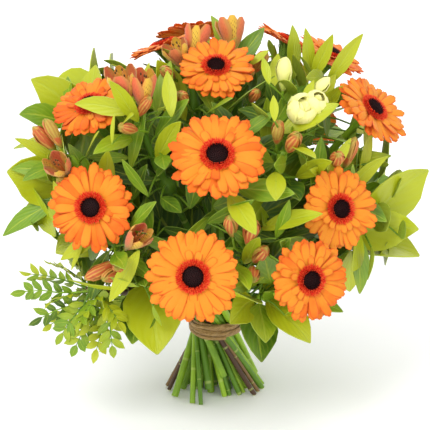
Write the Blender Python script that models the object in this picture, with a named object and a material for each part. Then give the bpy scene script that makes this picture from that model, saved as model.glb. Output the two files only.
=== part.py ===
"""A hand-tied spiral bunch of gerberas with alstroemeria and mixed leaves.

Metres, +Z up. The bunch stands on its level-cut stem ends at z = 0, its fullest side towards -Y,
and the tie is round the waist, where the straight stems cross like the wires of a hyperboloid.
"""

import itertools
import math

import bpy
import numpy as np
from mathutils.bvhtree import BVHTree

# Overall sizes. Places below are written in millimetres for SPREAD = CROWN = 1.
SPREAD = 1.0  # how widely the heads and leaves stand
CROWN = 1.0  # how high they stand
WAIST = 0.064  # height of the middle of the tie
LEAN = 36.0  # slope of a stem per metre of its distance from the axis
STRAIGHT = 0.022  # how far the stems stay straight above the waist

BLOOM = 0.040  # radius of an ordinary gerbera
EYE = 0.0115  # radius of the disc at its centre
PETAL_LOBES = 13
GERBERA_STEM = 0.0033
CALYX = 0.0095
ALSTROEMERIA_STEM = 0.0029
LEAF_STEM = 0.0026
TWIG = 0.0024
BAND = 0.016  # height of the tie
TWINE = 0.0026  # thickness of the tie
WRAPS = 4
GAP = 0.0003  # between pieces that touch
CLEAR = 0.0006  # kept round a leaf or a bud
LEAF_HALF = 0.0007  # half the thickness of a leaf along its midrib
NECK = 0.0010  # radius of a leaf's or a bud's stalk
SIDES = 6

# Gerberas: place of the centre, size against BLOOM, turn from the front towards +X, rise (degrees).
GERBERAS = (
    (2, -117, 266, 1.07, 0, 46),
    (-105, -103, 216, 0.97, -12, 22),
    (-18, -154, 173, 1.04, -3, 22),
    (107, -101, 214, 0.93, 27, 20),
    (77, -135, 163, 0.92, 25, 15),
    (1, -30, 318, 0.88, 0, 58),
    (-108, -48, 288, 0.90, -34, 60),
    (137, -30, 280, 0.95, 56, 46),
    (-46, 40, 322, 0.88, -120, 68),
    (68, 66, 316, 0.88, 110, 62),
    (104, 30, 312, 0.86, 80, 62),
    (-20, 92, 314, 0.90, -164, 58),
    (-84, 134, 226, 0.98, -152, 25),
    (88, 130, 226, 0.96, 150, 25),
)

# Sprigs: name, place of the stem's top, and each leaf, bud or flower near it as (form, place of the
# tip, length, width). The name's first word is its kind.
SPRIGS = (
    ("alstroemeria_01", (-80, -62, 296), (
        ("flower", (-82, -80, 332), 30, 26), ("flower", (-64, -76, 324), 28, 24),
        ("bud", (-55, -85, 309), 22, 9), ("bud", (-80, -108, 290), 22, 10),
        ("blade", (-88, -98, 326), 46, 13), ("blade", (-102, -112, 268), 52, 14))),
    ("alstroemeria_02", (-128, -58, 250), (
        ("bud", (-158, -62, 276), 24, 11), ("flower", (-138, -92, 256), 26, 22),
        ("bud", (-136, -90, 238), 22, 10), ("blade", (-166, -82, 234), 40, 13),
        ("blade", (-174, -60, 264), 44, 10), ("bud", (-142, -68, 286), 24, 10))),
    ("alstroemeria_03", (-88, -106, 184), (
        ("bud", (-112, -118, 156), 24, 11), ("bud", (-96, -130, 160), 24, 11),
        ("bud", (-84, -134, 172), 24, 10), ("flower", (-68, -134, 192), 26, 20),
        ("bud", (-74, -128, 226), 22, 10), ("leaf", (-60, -138, 160), 50, 26))),
    ("alstroemeria_04", (-22, -2, 314), (
        ("flower", (-34, -12, 334), 26, 24), ("bud", (-30, -64, 306), 22, 10),
        ("bud", (-46, -40, 322), 22, 9), ("flower", (-14, 14, 346), 26, 22),
        ("leaf", (-48, -26, 322), 60, 26), ("blade", (-60, 58, 342), 46, 10))),
    ("alstroemeria_05", (24, 14, 316), (
        ("flower", (13, 28, 352), 28, 26), ("bud", (30, -34, 318), 22, 10),
        ("bud", (37, -54, 306), 22, 9), ("blade", (44, 28, 342), 42, 16),
        ("blade", (-4, 42, 350), 44, 11), ("bud", (46, -10, 330), 22, 10))),
    ("alstroemeria_06", (60, -72, 258), (
        ("bud", (54, -96, 292), 24, 11), ("bud", (70, -104, 282), 24, 11),
        ("leaf", (72, -114, 228), 48, 28), ("blade", (99, -104, 258), 42, 14),
        ("blade", (44, -114, 206), 60, 13), ("leaf", (30, -112, 204), 62, 20))),
    ("alstroemeria_07", (26, -112, 182), (
        ("bud", (12, -138, 222), 22, 10), ("bud", (32, -138, 218), 24, 12),
        ("bud", (44, -136, 192), 24, 12), ("bud", (30, -144, 163), 24, 10),
        ("blade", (90, -134, 222), 50, 15), ("blade", (40, -144, 200), 40, 13))),
    ("alstroemeria_08", (112, -58, 236), (
        ("bud", (105, -96, 262), 24, 11), ("blade", (151, -60, 248), 50, 14),
        ("bud", (122, -66, 268), 24, 10), ("blade", (92, -112, 240), 42, 12),
        ("leaf", (150, -80, 196), 56, 30))),
    ("cream_01", (66, -42, 286), (
        ("bud", (61, -46, 334), 24, 11), ("flower", (78, -80, 302), 24, 20),
        ("flower", (90, -70, 306), 22, 18), ("bud", (100, -40, 314), 20, 9),
        ("blade", (46, -34, 310), 40, 13), ("blade", (46, -46, 296), 46, 14))),
    ("salal_01", (-112, 12, 282), (
        ("leaf", (-164, -2, 300), 58, 30), ("leaf", (-112, 38, 320), 62, 36),
        ("leaf", (-173, -22, 276), 40, 18), ("leaf", (-150, 46, 280), 60, 34),
        ("leaf", (-96, 78, 304), 60, 34), ("leaf", (-126, 92, 250), 62, 36))),
    ("salal_02", (-126, -52, 220), (
        ("leaf", (-182, -60, 234), 60, 36), ("blade", (-188, -60, 174), 60, 14),
        ("leaf", (-176, -50, 182), 48, 22), ("leaf", (-50, -128, 90), 66, 42),
        ("leaf", (-72, -120, 96), 50, 28), ("leaf", (-150, 24, 200), 60, 34))),
    ("salal_03", (128, -40, 196), (
        ("leaf", (189, -42, 230), 62, 40), ("leaf", (184, -44, 148), 60, 36),
        ("leaf", (172, -30, 190), 66, 46), ("leaf", (166, 20, 200), 60, 36),
        ("leaf", (140, 70, 178), 60, 34), ("blade", (128, -92, 132), 46, 18))),
    ("salal_04", (40, -92, 130), (
        ("leaf", (45, -118, 97), 42, 22), ("leaf", (85, -116, 98), 52, 26),
        ("leaf", (60, -134, 196), 52, 18), ("leaf", (14, -134, 122), 46, 22),
        ("blade", (112, -104, 120), 50, 16))),
    ("salal_05", (4, 118, 226), (
        ("leaf", (-34, 166, 258), 60, 36), ("leaf", (36, 168, 252), 60, 36),
        ("leaf", (2, 178, 206), 60, 36), ("leaf", (-44, 150, 170), 58, 34),
        ("leaf", (52, 146, 166), 58, 34), ("leaf", (2, 132, 290), 60, 34),
        ("leaf", (8, 128, 130), 56, 32))),
    ("pistacia_01", (-112, -94, 138), (
        ("leaflet", (-160, -96, 152), 26, 10), ("leaflet", (-166, -92, 134), 26, 10),
        ("leaflet", (-152, -98, 112), 26, 10), ("leaflet", (-134, -100, 98), 26, 10),
        ("leaflet", (-122, -104, 88), 26, 10), ("leaflet", (-104, -108, 86), 26, 10),
        ("leaflet", (-90, -114, 92), 26, 10), ("leaflet", (-84, -116, 116), 26, 10),
        ("leaflet", (-140, -104, 130), 24, 10), ("leaflet", (-120, -114, 118), 24, 10),
        ("leaflet", (-138, -92, 160), 24, 10), ("leaflet", (-146, -76, 96), 24, 10))),
    ("pistacia_02", (84, 116, 160), (
        ("leaflet", (128, 124, 176), 26, 10), ("leaflet", (134, 116, 156), 26, 10),
        ("leaflet", (126, 124, 136), 26, 10), ("leaflet", (110, 138, 124), 26, 10),
        ("leaflet", (92, 148, 120), 26, 10), ("leaflet", (74, 146, 128), 26, 10),
        ("leaflet", (104, 142, 150), 24, 10), ("leaflet", (96, 148, 172), 24, 10),
        ("leaflet", (116, 104, 128), 24, 10), ("leaflet", (72, 140, 106), 24, 10))),
    ("ruscus_01", (100, 6, 304), (
        ("blade", (131, 0, 341), 46, 14), ("blade", (80, 0, 348), 40, 12),
        ("blade", (104, -6, 344), 38, 12), ("blade", (70, 36, 342), 44, 12),
        ("blade", (120, 24, 330), 40, 13), ("leaf", (82, -34, 312), 42, 14))),
)

# Leaves that clothe a stem below those: stem between two of them, form, length, width.
FILL = {
    "alstroemeria": (0.0240, "blade", 0.050, 0.015),
    "cream": (0.0240, "blade", 0.046, 0.013),
    "salal": (0.0185, "leaf", 0.054, 0.030),
    "pistacia": (0.0095, "leaflet", 0.028, 0.011),
    "ruscus": (0.0240, "blade", 0.042, 0.013),
}
BARE = 0.040  # height above the tie where those begin

# Kind: stem radius, base colour, roughness.
KINDS = {
    "bloom": (BLOOM, (0.95, 0.28, 0.04), 0.55),
    "eye": (EYE, (0.05, 0.008, 0.012), 0.85),
    "stem": (GERBERA_STEM, (0.20, 0.42, 0.09), 0.50),
    "alstroemeria": (ALSTROEMERIA_STEM, (0.30, 0.46, 0.08), 0.50),
    "cream": (ALSTROEMERIA_STEM, (0.62, 0.66, 0.22), 0.55),
    "salal": (LEAF_STEM, (0.12, 0.27, 0.05), 0.40),
    "pistacia": (TWIG, (0.16, 0.27, 0.09), 0.50),
    "ruscus": (LEAF_STEM, (0.22, 0.42, 0.08), 0.40),
    "twine": (TWINE, (0.36, 0.23, 0.10), 0.90),
}

# Leaf and bud forms: (share of the blade's length, share of its half-width) at each ring past the
# stalk, whether the section is round, and how far along the blade the closing point stands.
FORMS = {
    "leaflet": (((0.42, 1.0), (0.78, 0.74)), False, 1.0),
    "leaf": (((0.24, 0.74), (0.52, 1.0), (0.80, 0.64)), False, 1.0),
    "blade": (((0.24, 0.70), (0.50, 1.0), (0.78, 0.62)), False, 1.0),
    "bud": (((0.30, 0.80), (0.58, 1.0), (0.84, 0.66)), True, 1.0),
    "flower": (((0.30, 0.42), (0.62, 0.66), (0.86, 0.92), (1.0, 1.0)), True, 0.78),
}

UP = np.array((0.0, 0.0, 1.0))


def unit(vector):
    return vector / np.linalg.norm(vector)


def place(x, y, z):
    return np.array((x * SPREAD, y * SPREAD, z * CROWN)) / 1000


def facing(turn, rise):
    turn, rise = math.radians(turn), math.radians(rise)
    return np.array((math.sin(turn) * math.cos(rise), -math.cos(turn) * math.cos(rise), math.sin(rise)))


def across(axis):
    """Two unit vectors that make a right-handed frame with the axis."""
    first = unit(np.cross(axis, UP if abs(axis[2]) < 0.9 else np.array((0.0, 1.0, 0.0))))
    return first, np.cross(axis, first)


# ---------------------------------------------------------------- flower heads

BLOOM_BASE = 0.0100  # radius of the flat underside, above the calyx
BLOOM_THICK = 0.0030
RIM_LIFT = 0.0022
RIM_THICK = 0.0013
EYE_HIGH = 0.0042
HEAD_HIGH = BLOOM_THICK + GAP + EYE_HIGH
CALYX_LONG = 0.015


def settle_blooms(centres, axes, radii):
    """Heads that would run through each other slide along their axes until they only overlap like tiles."""
    centres = centres.copy()
    turns = np.linspace(0, 2 * math.pi, 24, endpoint=False)
    need = HEAD_HIGH + 0.0018
    for _ in range(160):
        shift = np.zeros_like(centres)
        for a in range(len(centres)):
            first, second = across(axes[a])
            ring = np.outer(np.cos(turns), first) + np.outer(np.sin(turns), second)
            circles = [centres[a] + ring * radii[a] * share for share in (1.0, 0.75, 0.5, 0.25)]
            cloud = np.concatenate(circles)
            for b in range(len(centres)):
                if a == b or np.linalg.norm(centres[a] - centres[b]) > radii[a] + radii[b] + 0.004:
                    continue
                away = cloud - centres[b]
                height = away @ axes[b]
                out = np.linalg.norm(away - np.outer(height, axes[b]), axis=1)
                inside = (out < radii[b] + 0.002) & (np.abs(height) < need)
                if not inside.any():
                    continue
                lean = np.mean(height[inside]) + 0.3 * ((centres[a] - centres[b]) @ axes[b])
                side = 1.0 if lean >= 0 else -1.0
                depth = max(need - (side * height[inside]).min(), 0)
                depth = min(depth, 0.004)
                shift[a] += 0.25 * side * depth * axes[b]
                shift[b] -= 0.25 * side * depth * axes[b]
        centres += shift
        if np.abs(shift).max() < 1e-6:
            break
    return centres


def bloom_mesh(centre, axis, radius):
    """A shallow dish with a lobe for each group of petals."""
    first, second = across(axis)

    def at(angle, out, up):
        return centre + (first * math.cos(angle) + second * math.sin(angle)) * out + axis * up

    step = 2 * math.pi / PETAL_LOBES
    base = [at(step * (k + 0.5), BLOOM_BASE, 0) for k in range(PETAL_LOBES)]
    crown = [at(step * (k + 0.5), EYE + 0.002, BLOOM_THICK) for k in range(PETAL_LOBES)]
    low, high = [], []
    for k in range(PETAL_LOBES):
        for offset, share, lift in ((0.0, 0.80, 0.72), (0.28, 0.985, 1.0), (0.72, 0.985, 1.0)):
            angle = step * (k + offset)
            low.append(at(angle, radius * share, RIM_LIFT * lift))
            high.append(at(angle, radius * share, RIM_LIFT * lift + RIM_THICK))
    rim, count = len(low), PETAL_LOBES
    points = base + crown + low + high + [centre, centre + axis * BLOOM_THICK]
    first_low, first_high = 2 * count, 2 * count + rim
    under, over = 2 * count + 2 * rim, 2 * count + 2 * rim + 1
    faces = []
    for k in range(count):
        ahead = (k + 1) % count
        faces += [(under, ahead, k), (over, count + k, count + ahead)]
        start = 3 * k
        rim_three = [(start + j) % rim for j in range(4)]
        for j in range(3):
            faces.append((k, first_low + rim_three[j + 1], first_low + rim_three[j]))
            faces.append((count + k, first_high + rim_three[j], first_high + rim_three[j + 1]))
        faces.append((k, ahead, first_low + rim_three[3]))
        faces.append((count + k, first_high + rim_three[3], count + ahead))
    for j in range(rim):
        ahead = (j + 1) % rim
        faces.append((first_low + j, first_low + ahead, first_high + ahead, first_high + j))
    return points, faces


def eye_mesh(centre, axis):
    first, second = across(axis)
    rings = ((EYE, 0.0), (EYE * 0.92, EYE_HIGH * 0.55), (EYE * 0.6, EYE_HIGH * 0.95))
    foot = centre + axis * (BLOOM_THICK + GAP)
    turns = [2 * math.pi * k / 10 for k in range(10)]
    spokes = [first * math.cos(t) + second * math.sin(t) for t in turns]
    points = [foot + spoke * out + axis * up for out, up in rings for spoke in spokes]
    points.append(foot + axis * EYE_HIGH)
    faces = [tuple(range(9, -1, -1))]
    for ring in (0, 10):
        for k in range(10):
            after = (k + 1) % 10
            faces.append((ring + k, ring + after, ring + 10 + after, ring + 10 + k))
    faces += [(20 + k, 20 + (k + 1) % 10, 30) for k in range(10)]
    return points, faces


# ---------------------------------------------------------------- stems


def slope(at):
    """How far a stem at this place in the waist moves sideways for each metre it climbs."""
    return LEAN * np.stack((at[..., 1], -at[..., 0]), axis=-1)


def on_line(at, rise):
    flat = at + slope(at) * rise
    return np.concatenate((flat, np.full(flat.shape[:-1] + (1,), WAIST + rise)), axis=-1)


def pack_waist(heads, radii):
    """Where each stem crosses the waist: under its own head, as close as straight leaning stems can lie."""
    rise = np.maximum(heads[:, 2] - WAIST, 0.03)
    wound = LEAN * rise
    turn = np.arctan(wound)
    cos, sin = np.cos(turn), np.sin(turn)
    x, y = heads[:, 0], heads[:, 1]
    at = np.stack((x * cos - y * sin, x * sin + y * cos), axis=1) / np.sqrt(1 + wound**2)[:, None]
    middle = int(np.argmin(np.hypot(at[:, 0], at[:, 1])))
    other = ~np.eye(len(at), dtype=bool)
    for step in range(1500):
        at[middle] = 0
        apart = at[:, None] - at[None]
        far = np.hypot(apart[..., 0], apart[..., 1]) + 1e-9
        moment = np.abs(at[:, None, 0] * at[None, :, 1] - at[:, None, 1] * at[None, :, 0]) / far
        need = (radii[:, None] + radii[None] + GAP) * np.sqrt(1 + (LEAN * moment) ** 2)
        short = np.where(other, np.maximum(need - far, 0), 0)
        at = at + 0.3 * (apart / far[..., None] * short[..., None]).sum(axis=1)
        if step < 900:
            at *= 1 - 0.010 * (1 - step / 900)
    at[middle] = 0
    return at, middle


def curve(start, way, end, arrive, count):
    """Points of a cubic from start, leaving along way, to end, arriving along arrive."""
    reach = np.linalg.norm(end - start)
    t = np.linspace(0, 1, count)[:, None]
    one, two = start + way * reach * 0.42, end - arrive * reach * 0.30
    return (1 - t) ** 3 * start + 3 * t * (1 - t) ** 2 * one + 3 * t * t * (1 - t) * two + t**3 * end


KNOTS = 11  # rings of a stem above its straight part
FINE = 6  # places tried for clearance between two rings
TIP = 0.002  # how far a sprig's growing point stands past its last ring
BETWEEN = 0.0018  # kept between stems above the tie, where their nodes swell


def relax_stems(knots, radii, loose, owners, centres, axes, sizes):
    """Stems bend round each other and round the flower heads, and keep their own ends."""
    count, many = knots.shape[:2]
    samples = (many - 1) * FINE + 1
    spread = np.zeros((samples, many))
    for j in range(samples):
        k, part = divmod(j, FINE)
        spread[j, k] += 1 - part / FINE
        if part:
            spread[j, k + 1] += part / FINE
    drawn = knots.copy()
    stem_of = np.repeat(np.arange(count), samples)
    thick = np.repeat(radii[:, None], samples, axis=1)
    for i in range(count):
        if owners[i] < 0:  # the growing point past the last ring
            thick[i, -2:] += 2 * TIP
        else:  # the flaring calyx
            ends = np.linalg.norm(np.diff(spread @ knots[i], axis=0), axis=1)
            left = ends[::-1].cumsum()[::-1]
            left = np.append(left, 0)
            thick[i] = np.maximum(thick[i], CALYX * np.clip(1 - left / CALYX_LONG, 0, 1))
    thick = thick.reshape(-1)
    need = thick[:, None] + thick[None] + BETWEEN
    apart_stem = stem_of[:, None] != stem_of[None]
    for step in range(340):
        points = np.einsum("sk,ikd->isd", spread, knots)
        push = np.zeros_like(points)
        felt = np.zeros(points.shape[:2])
        flat = points.reshape(-1, 3)
        square = (flat**2).sum(axis=1)
        near = square[:, None] + square[None] - 2 * flat @ flat.T
        a, b = np.nonzero((near < need**2) & apart_stem)
        way = flat[a] - flat[b]
        far = np.linalg.norm(way, axis=1) + 1e-9
        move = way / far[:, None] * ((need[a, b] - far) * 0.5)[:, None]
        np.add.at(push.reshape(-1, 3), a, move)
        np.add.at(felt.reshape(-1), a, 1)
        for h in range(len(centres)):
            away = points - centres[h]
            height = away @ axes[h]
            out_way = away - height[..., None] * axes[h]
            out = np.linalg.norm(out_way, axis=2) + 1e-9
            r = thick.reshape(count, samples)
            half = HEAD_HIGH / 2
            exit_up = half + r + BETWEEN - np.abs(height - half)
            exit_out = sizes[h] + r + BETWEEN - out
            hit = (exit_up > 0) & (exit_out > 0)
            hit[owners == h] = False
            if not hit.any():
                continue
            tip_side = (knots[:, -1] - centres[h]) @ axes[h]
            tip_out = np.linalg.norm(knots[:, -1] - centres[h] - tip_side[:, None] * axes[h], axis=1)
            behind = (tip_side < half)[:, None] & np.ones_like(hit)
            above = (height > half) & ~behind & (exit_up < exit_out)
            back = behind & (exit_out > 0.006)
            wide = ~(above | back)
            amount = np.where(hit & back, -(exit_up + 0 * out), np.where(hit & above, exit_up, 0))
            push += 0.5 * amount[..., None] * axes[h]
            push += 0.5 * np.where(hit & wide, exit_out, 0)[..., None] * out_way / out[..., None]
            felt += hit
        push /= np.maximum(felt, 1)[..., None]
        weight = np.einsum("sk,is->ik", spread, (felt > 0).astype(float))
        change = np.einsum("sk,isd->ikd", spread, push) / np.maximum(weight, 0.6)[..., None]
        knots = knots + 1.25 * change
        bend = knots - drawn
        ease = 0.30 * max(1 - step / 260, 0) ** 2
        bend[:, 1:-1] += ease * ((bend[:, :-2] + bend[:, 2:]) / 2 - bend[:, 1:-1])
        knots = drawn + bend
        knots[:, 0] = drawn[:, 0]
        fixed = owners >= 0
        knots[fixed, -2:] = drawn[fixed, -2:]
        knots[loose, -1] = 0.995 * knots[loose, -1] + 0.005 * drawn[loose, -1]
    return knots


def tube_rings(line, radii, foot_height):
    """Rings of SIDES points along a line, the lowest one cut level at foot_height."""
    way = np.diff(line, axis=0)
    way /= np.linalg.norm(way, axis=1)[:, None]
    first, _ = across(way[0])
    rings = []
    for k, point in enumerate(line):
        tangent = unit(way[max(k - 1, 0)] + way[min(k, len(way) - 1)])
        first = unit(first - (first @ tangent) * tangent)
        second = np.cross(tangent, first)
        turns = 2 * math.pi * np.arange(SIDES) / SIDES
        ring = point + radii[k] * (np.outer(np.cos(turns), first) + np.outer(np.sin(turns), second))
        if k == 0:
            ring = ring - np.outer((ring[:, 2] - foot_height) / tangent[2], tangent)
        rings.append(ring)
    return rings


def stack(rings, tip=None):
    """Faces that join the rings, with a flat foot and a flat or pointed top."""
    points = np.concatenate(rings)
    faces = [tuple(range(SIDES - 1, -1, -1))]
    for j in range(len(rings) - 1):
        low, high = j * SIDES, (j + 1) * SIDES
        for k in range(SIDES):
            ahead = (k + 1) % SIDES
            faces.append((low + k, low + ahead, high + ahead, high + k))
    top = (len(rings) - 1) * SIDES
    if tip is None:
        faces.append(tuple(range(top, top + SIDES)))
    else:
        faces += [(top + k, top + (k + 1) % SIDES, len(points)) for k in range(SIDES)]
        points = np.vstack((points, tip))
    return [tuple(p) for p in points], faces


# ---------------------------------------------------------------- leaves and buds

NODE_HALF = 0.0015  # half the length of stem that a leaf grows from
NODE_EVERY = 0.013
SWELL = 1.12  # stem at a node against plain stem


def node_rings(rings, spans, at):
    """The pair of swollen rings round the place `at` along the stem."""
    pair = []
    for where in (at - NODE_HALF, at + NODE_HALF):
        k = int(np.searchsorted(spans, where, side="right") - 1)
        k = min(max(k, 0), len(rings) - 2)
        share = (where - spans[k]) / (spans[k + 1] - spans[k])
        ring = (1 - share) * rings[k] + share * rings[k + 1]
        middle = ring.mean(axis=0)
        pair.append(middle + (ring - middle) * SWELL)
    return pair


def organ_rings(quad, outward, form, tip, length, width, roll, slack):
    """Four-point rings of a leaf or bud that grows from a quad of the stem, and its closing point."""
    profile, rounded, close = FORMS[form]
    start = quad.mean(axis=0)
    reach = np.linalg.norm(tip - start)
    stalk = max(1 - length / reach, 0.12)
    arch = 0.10 if not rounded else 0.0
    one = start + outward * reach * (0.22 if rounded else 0.26)
    two = start + (tip - start) * 0.62 + UP * arch * reach

    def at(t):
        return (1 - t) ** 3 * start + 3 * t * (1 - t) ** 2 * one + 3 * t * t * (1 - t) * two + t**3 * tip

    face = np.array((2.0 * tip[0], 2.0 * tip[1] - 0.22, 0.20))
    shares = [(stalk, NECK / (width / 2), True)]
    if rounded:
        shares.insert(0, (stalk * 0.5, NECK / (width / 2), True))
    shares += [(stalk + (1 - stalk) * s, w, rounded) for s, w in profile]
    rings = []
    for t, share, is_round in shares:
        tangent = unit(at(t + 0.01) - at(t - 0.01))
        normal = face - (face @ tangent) * tangent
        normal = unit(normal) if np.linalg.norm(normal) > 1e-3 else across(tangent)[0]
        side = np.cross(normal, tangent)
        c, s = math.cos(roll), math.sin(roll)
        side, normal = c * side + s * normal, c * normal - s * side
        half = width / 2 * share + slack
        thin = (half if is_round else LEAF_HALF + slack)
        centre = at(t)
        rings.append(centre + np.array((side * half, normal * thin, -side * half, -normal * thin)))
    end = at(stalk + (1 - stalk) * close)
    if not rounded or close >= 1.0:
        end = end + unit(at(1.0) - at(0.97)) * slack
    return rings, end


def between(low, high, edge_first):
    """Triangles between two four-point rings. Both sides of a leaf are split the same way, from its edge
    to the next ring's midrib, so that they stay parallel where the blade twists."""
    faces = []
    for k in range(4):
        a, b, c, d = low[k], low[(k + 1) % 4], high[(k + 1) % 4], high[k]
        faces += [(a, b, c), (a, c, d)] if (k % 2 == 0) == edge_first else [(a, b, d), (b, c, d)]
    return faces


def organ_tree(rings, end):
    """The points and faces of a leaf or bud by itself, closed at its foot."""
    points = [tuple(p) for ring in rings for p in ring] + [tuple(end)]
    faces = [(3, 2, 1, 0)]
    for j in range(len(rings) - 1):
        faces += between(range(4 * j, 4 * j + 4), range(4 * j + 4, 4 * j + 8), True)
    top = 4 * (len(rings) - 1)
    faces += [(top + k, top + (k + 1) % 4, len(points) - 1) for k in range(4)]
    return points, faces


def nudges():
    """Small moves of a tip, nearest first."""
    moves = [np.zeros(3)]
    for far in (0.005, 0.010, 0.016):
        for k in range(8):
            height = 1 - (2 * k + 1) / 8
            out = math.sqrt(1 - height * height)
            moves.append(far * np.array((out * math.cos(2.4 * k), out * math.sin(2.4 * k), height)))
    return moves


NUDGES = nudges()
ROLLS = (0.0, 0.45, -0.45, 0.9, -0.9)


def crosses(tree, faces):
    """Whether a leaf or bud runs through itself, as one bent too sharply would."""
    return any(a < b and not set(faces[a]) & set(faces[b]) for a, b in tree.overlap(tree))


# How many of the best slots are tried, and the shares of the full size tried at them.
SEARCHES = ((14, (1.0, 0.85, 0.7, 0.55, 0.42, 0.3)), (400, (0.5, 0.3, 0.2, 0.12)))


def grow(quads, spec, fixed, grown):
    """Finds the first clear way to grow one leaf or bud, or else the smallest, as (slot, rings, end)."""
    form, tip, length, width = spec
    ranked = []
    for key, (quad, outward) in quads.items():
        start = quad.mean(axis=0)
        reach = np.linalg.norm(tip - start)
        cost = abs(reach - length * 1.15) / length + 0.8 * (1 - outward @ (tip - start) / reach)
        if reach > 0.4 * length:
            ranked.append((cost, key))
    ranked.sort()
    for key, shrink, move in ways_to_try(ranked):
        quad, outward = quads[key]
        start = quad.mean(axis=0)
        goal = start + (tip + move - start) * (1.0 if shrink > 0.6 else shrink + 0.3)
        for roll in ROLLS if not FORMS[form][1] else ROLLS[:1]:
            size = (length * shrink, width * shrink, roll)
            wide_rings, wide_end = organ_rings(quad, outward, form, goal, *size, CLEAR)
            points, faces = organ_tree([quad + outward * CLEAR] + wide_rings, wide_end)
            tree = BVHTree.FromPolygons(points, faces)
            if not (tree.overlap(fixed) or (grown and tree.overlap(grown)) or crosses(tree, faces)):
                return key, *organ_rings(quad, outward, form, goal, *size, 0.0)
    return key, *organ_rings(quad, outward, form, goal, *size, 0.0)


def ways_to_try(ranked):
    """Each (slot, share of the full size, nudge of the tip), from the full size at the best slots down."""
    for most, shares in SEARCHES:
        for shrink, near in itertools.product(shares, (NUDGES[:1], NUDGES[1:9], NUDGES[9:])):
            for (_, key), move in itertools.product(ranked[:most], near):
                yield key, shrink, move


def add_organ(points, faces, quad, rings, end):
    """Opens the stem's quad and joins the organ's rings to it, corner to nearest corner."""
    faces.remove(quad)
    last = list(quad)
    for ring in rings:
        places = [np.array(points[v]) for v in last]
        apart = [
            sum(np.linalg.norm(places[k] - ring[(k + turn) % 4]) for k in range(4)) for turn in range(4)]
        turn = apart.index(min(apart))
        first = len(points)
        points += [tuple(p) for p in ring]
        new = [first + (k + turn) % 4 for k in range(4)]
        faces += between(last, new, turn % 2 == 0)
        last = new
    points.append(tuple(end))
    faces += [(last[k], last[(k + 1) % 4], len(points) - 1) for k in range(4)]


# ---------------------------------------------------------------- tie


def tie_mesh(at, radii):
    """Wraps of twine drawn tight round the bundle, as one ridged band."""
    around = 24
    turns = np.linspace(0, 2 * math.pi, around, endpoint=False)
    ways = np.stack((np.cos(turns), np.sin(turns)), axis=1)
    steepness = np.hypot(*slope(at).T)
    along = slope(at) / np.maximum(steepness, 1e-9)[:, None]
    share = (along @ ways.T) ** 2
    half = radii[:, None] * np.sqrt(share * steepness[:, None] ** 2 + 1)

    def loop(rise, out):
        """Corners where the bundle's tangents in neighbouring directions meet."""
        tangent = ((at + slope(at) * rise) @ ways.T + half).max(axis=0) + GAP + out
        ahead = np.roll(tangent, -1)
        step = 2 * math.pi / around
        sway = (ahead - tangent * math.cos(step)) / math.sin(step)
        flat = tangent[:, None] * ways + sway[:, None] * np.stack((-ways[:, 1], ways[:, 0]), axis=1)
        return [(x, y, WAIST + rise) for x, y in flat]

    profile = [(-BAND / 2, 0.0), (0.0, 0.0), (BAND / 2, 0.0)]
    for k in range(2 * WRAPS, -1, -1):
        profile.append((BAND * (k / (2 * WRAPS) - 0.5), TWINE if k % 2 else TWINE * 0.62))
    points = [corner for rise, out in profile for corner in loop(rise, out)]
    faces = []
    for j in range(len(profile)):
        low, high = j * around, (j + 1) % len(profile) * around
        for k in range(around):
            after = (k + 1) % around
            faces.append((low + k, high + k, high + after, low + after))
    return points, faces


# ---------------------------------------------------------------- build


def material(name, kind):
    _, colour, rough = KINDS[kind]
    made = bpy.data.materials.new(name)
    made.use_nodes = True
    shader = made.node_tree.nodes["Principled BSDF"]
    shader.inputs["Base Color"].default_value = (*colour, 1)
    shader.inputs["Roughness"].default_value = rough
    shader.inputs["Metallic"].default_value = 0.0
    return made


def build(name, kind, points, faces):
    mesh = bpy.data.meshes.new(name)
    mesh.from_pydata([tuple(float(c) for c in p) for p in points], [], faces)
    mesh.validate()
    mesh.materials.append(material(name, kind))
    thing = bpy.data.objects.new(name, mesh)
    bpy.context.scene.collection.objects.link(thing)
    return thing


def stem_paths(tops, centres, axes, sizes, radii):
    """Each stem's line from its foot to its top, and the height that its foot is cut at."""
    count, many = len(tops), len(centres)
    at, middle = pack_waist(tops, radii)
    knots = []
    for i, top in enumerate(tops):
        start = on_line(at[i], STRAIGHT)
        way = unit(np.append(slope(at[i]), 1.0))
        if i < many:
            path = curve(start, way, centres[i] - axes[i] * GAP, axes[i], KNOTS)
            path[-2] = centres[i] - axes[i] * (CALYX_LONG + 0.001)
        else:
            path = curve(start, way, top, unit(unit(top - start) + 0.4 * UP), KNOTS)
        knots.append(path)
    owners = np.where(np.arange(count) < many, np.arange(count), -1)
    knots = relax_stems(np.array(knots), radii, owners < 0, owners, centres, axes, sizes)

    order = np.argsort(np.hypot(*(at - np.array((0.012, 0.010))).T))
    short = {int(order[-1]): 0.022, int(order[-4]): 0.010, int(order[-9]): 0.006}
    short.pop(middle, None)
    cuts = [short.get(i, 0.0) for i in range(count)]
    lines = [np.vstack((on_line(at[i], cuts[i] - WAIST), knots[i])) for i in range(count)]
    return at, lines, cuts


def gerbera_bodies(name, centre, axis, size, line, cut):
    """The stem with its flaring calyx, the ring of petals and the eye of one gerbera."""
    neck = centre - axis * GAP
    flare = [neck - axis * CALYX_LONG * share for share in (1.0, 0.55, 0.2, 0.0)]
    line = np.vstack((line[:-2], flare))
    thick = [GERBERA_STEM] * (len(line) - 3) + [CALYX * 0.62, CALYX * 0.96, CALYX]
    return {
        name + "_stem": ("stem", *stack(tube_rings(line, thick, cut))),
        name + "_bloom": ("bloom", *bloom_mesh(centre, axis, size)),
        name + "_eye": ("eye", *eye_mesh(centre, axis)),
    }


def run_along(line):
    """How far along the line each of its points is."""
    return np.append(0, np.linalg.norm(np.diff(line, axis=0), axis=1).cumsum())


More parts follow.
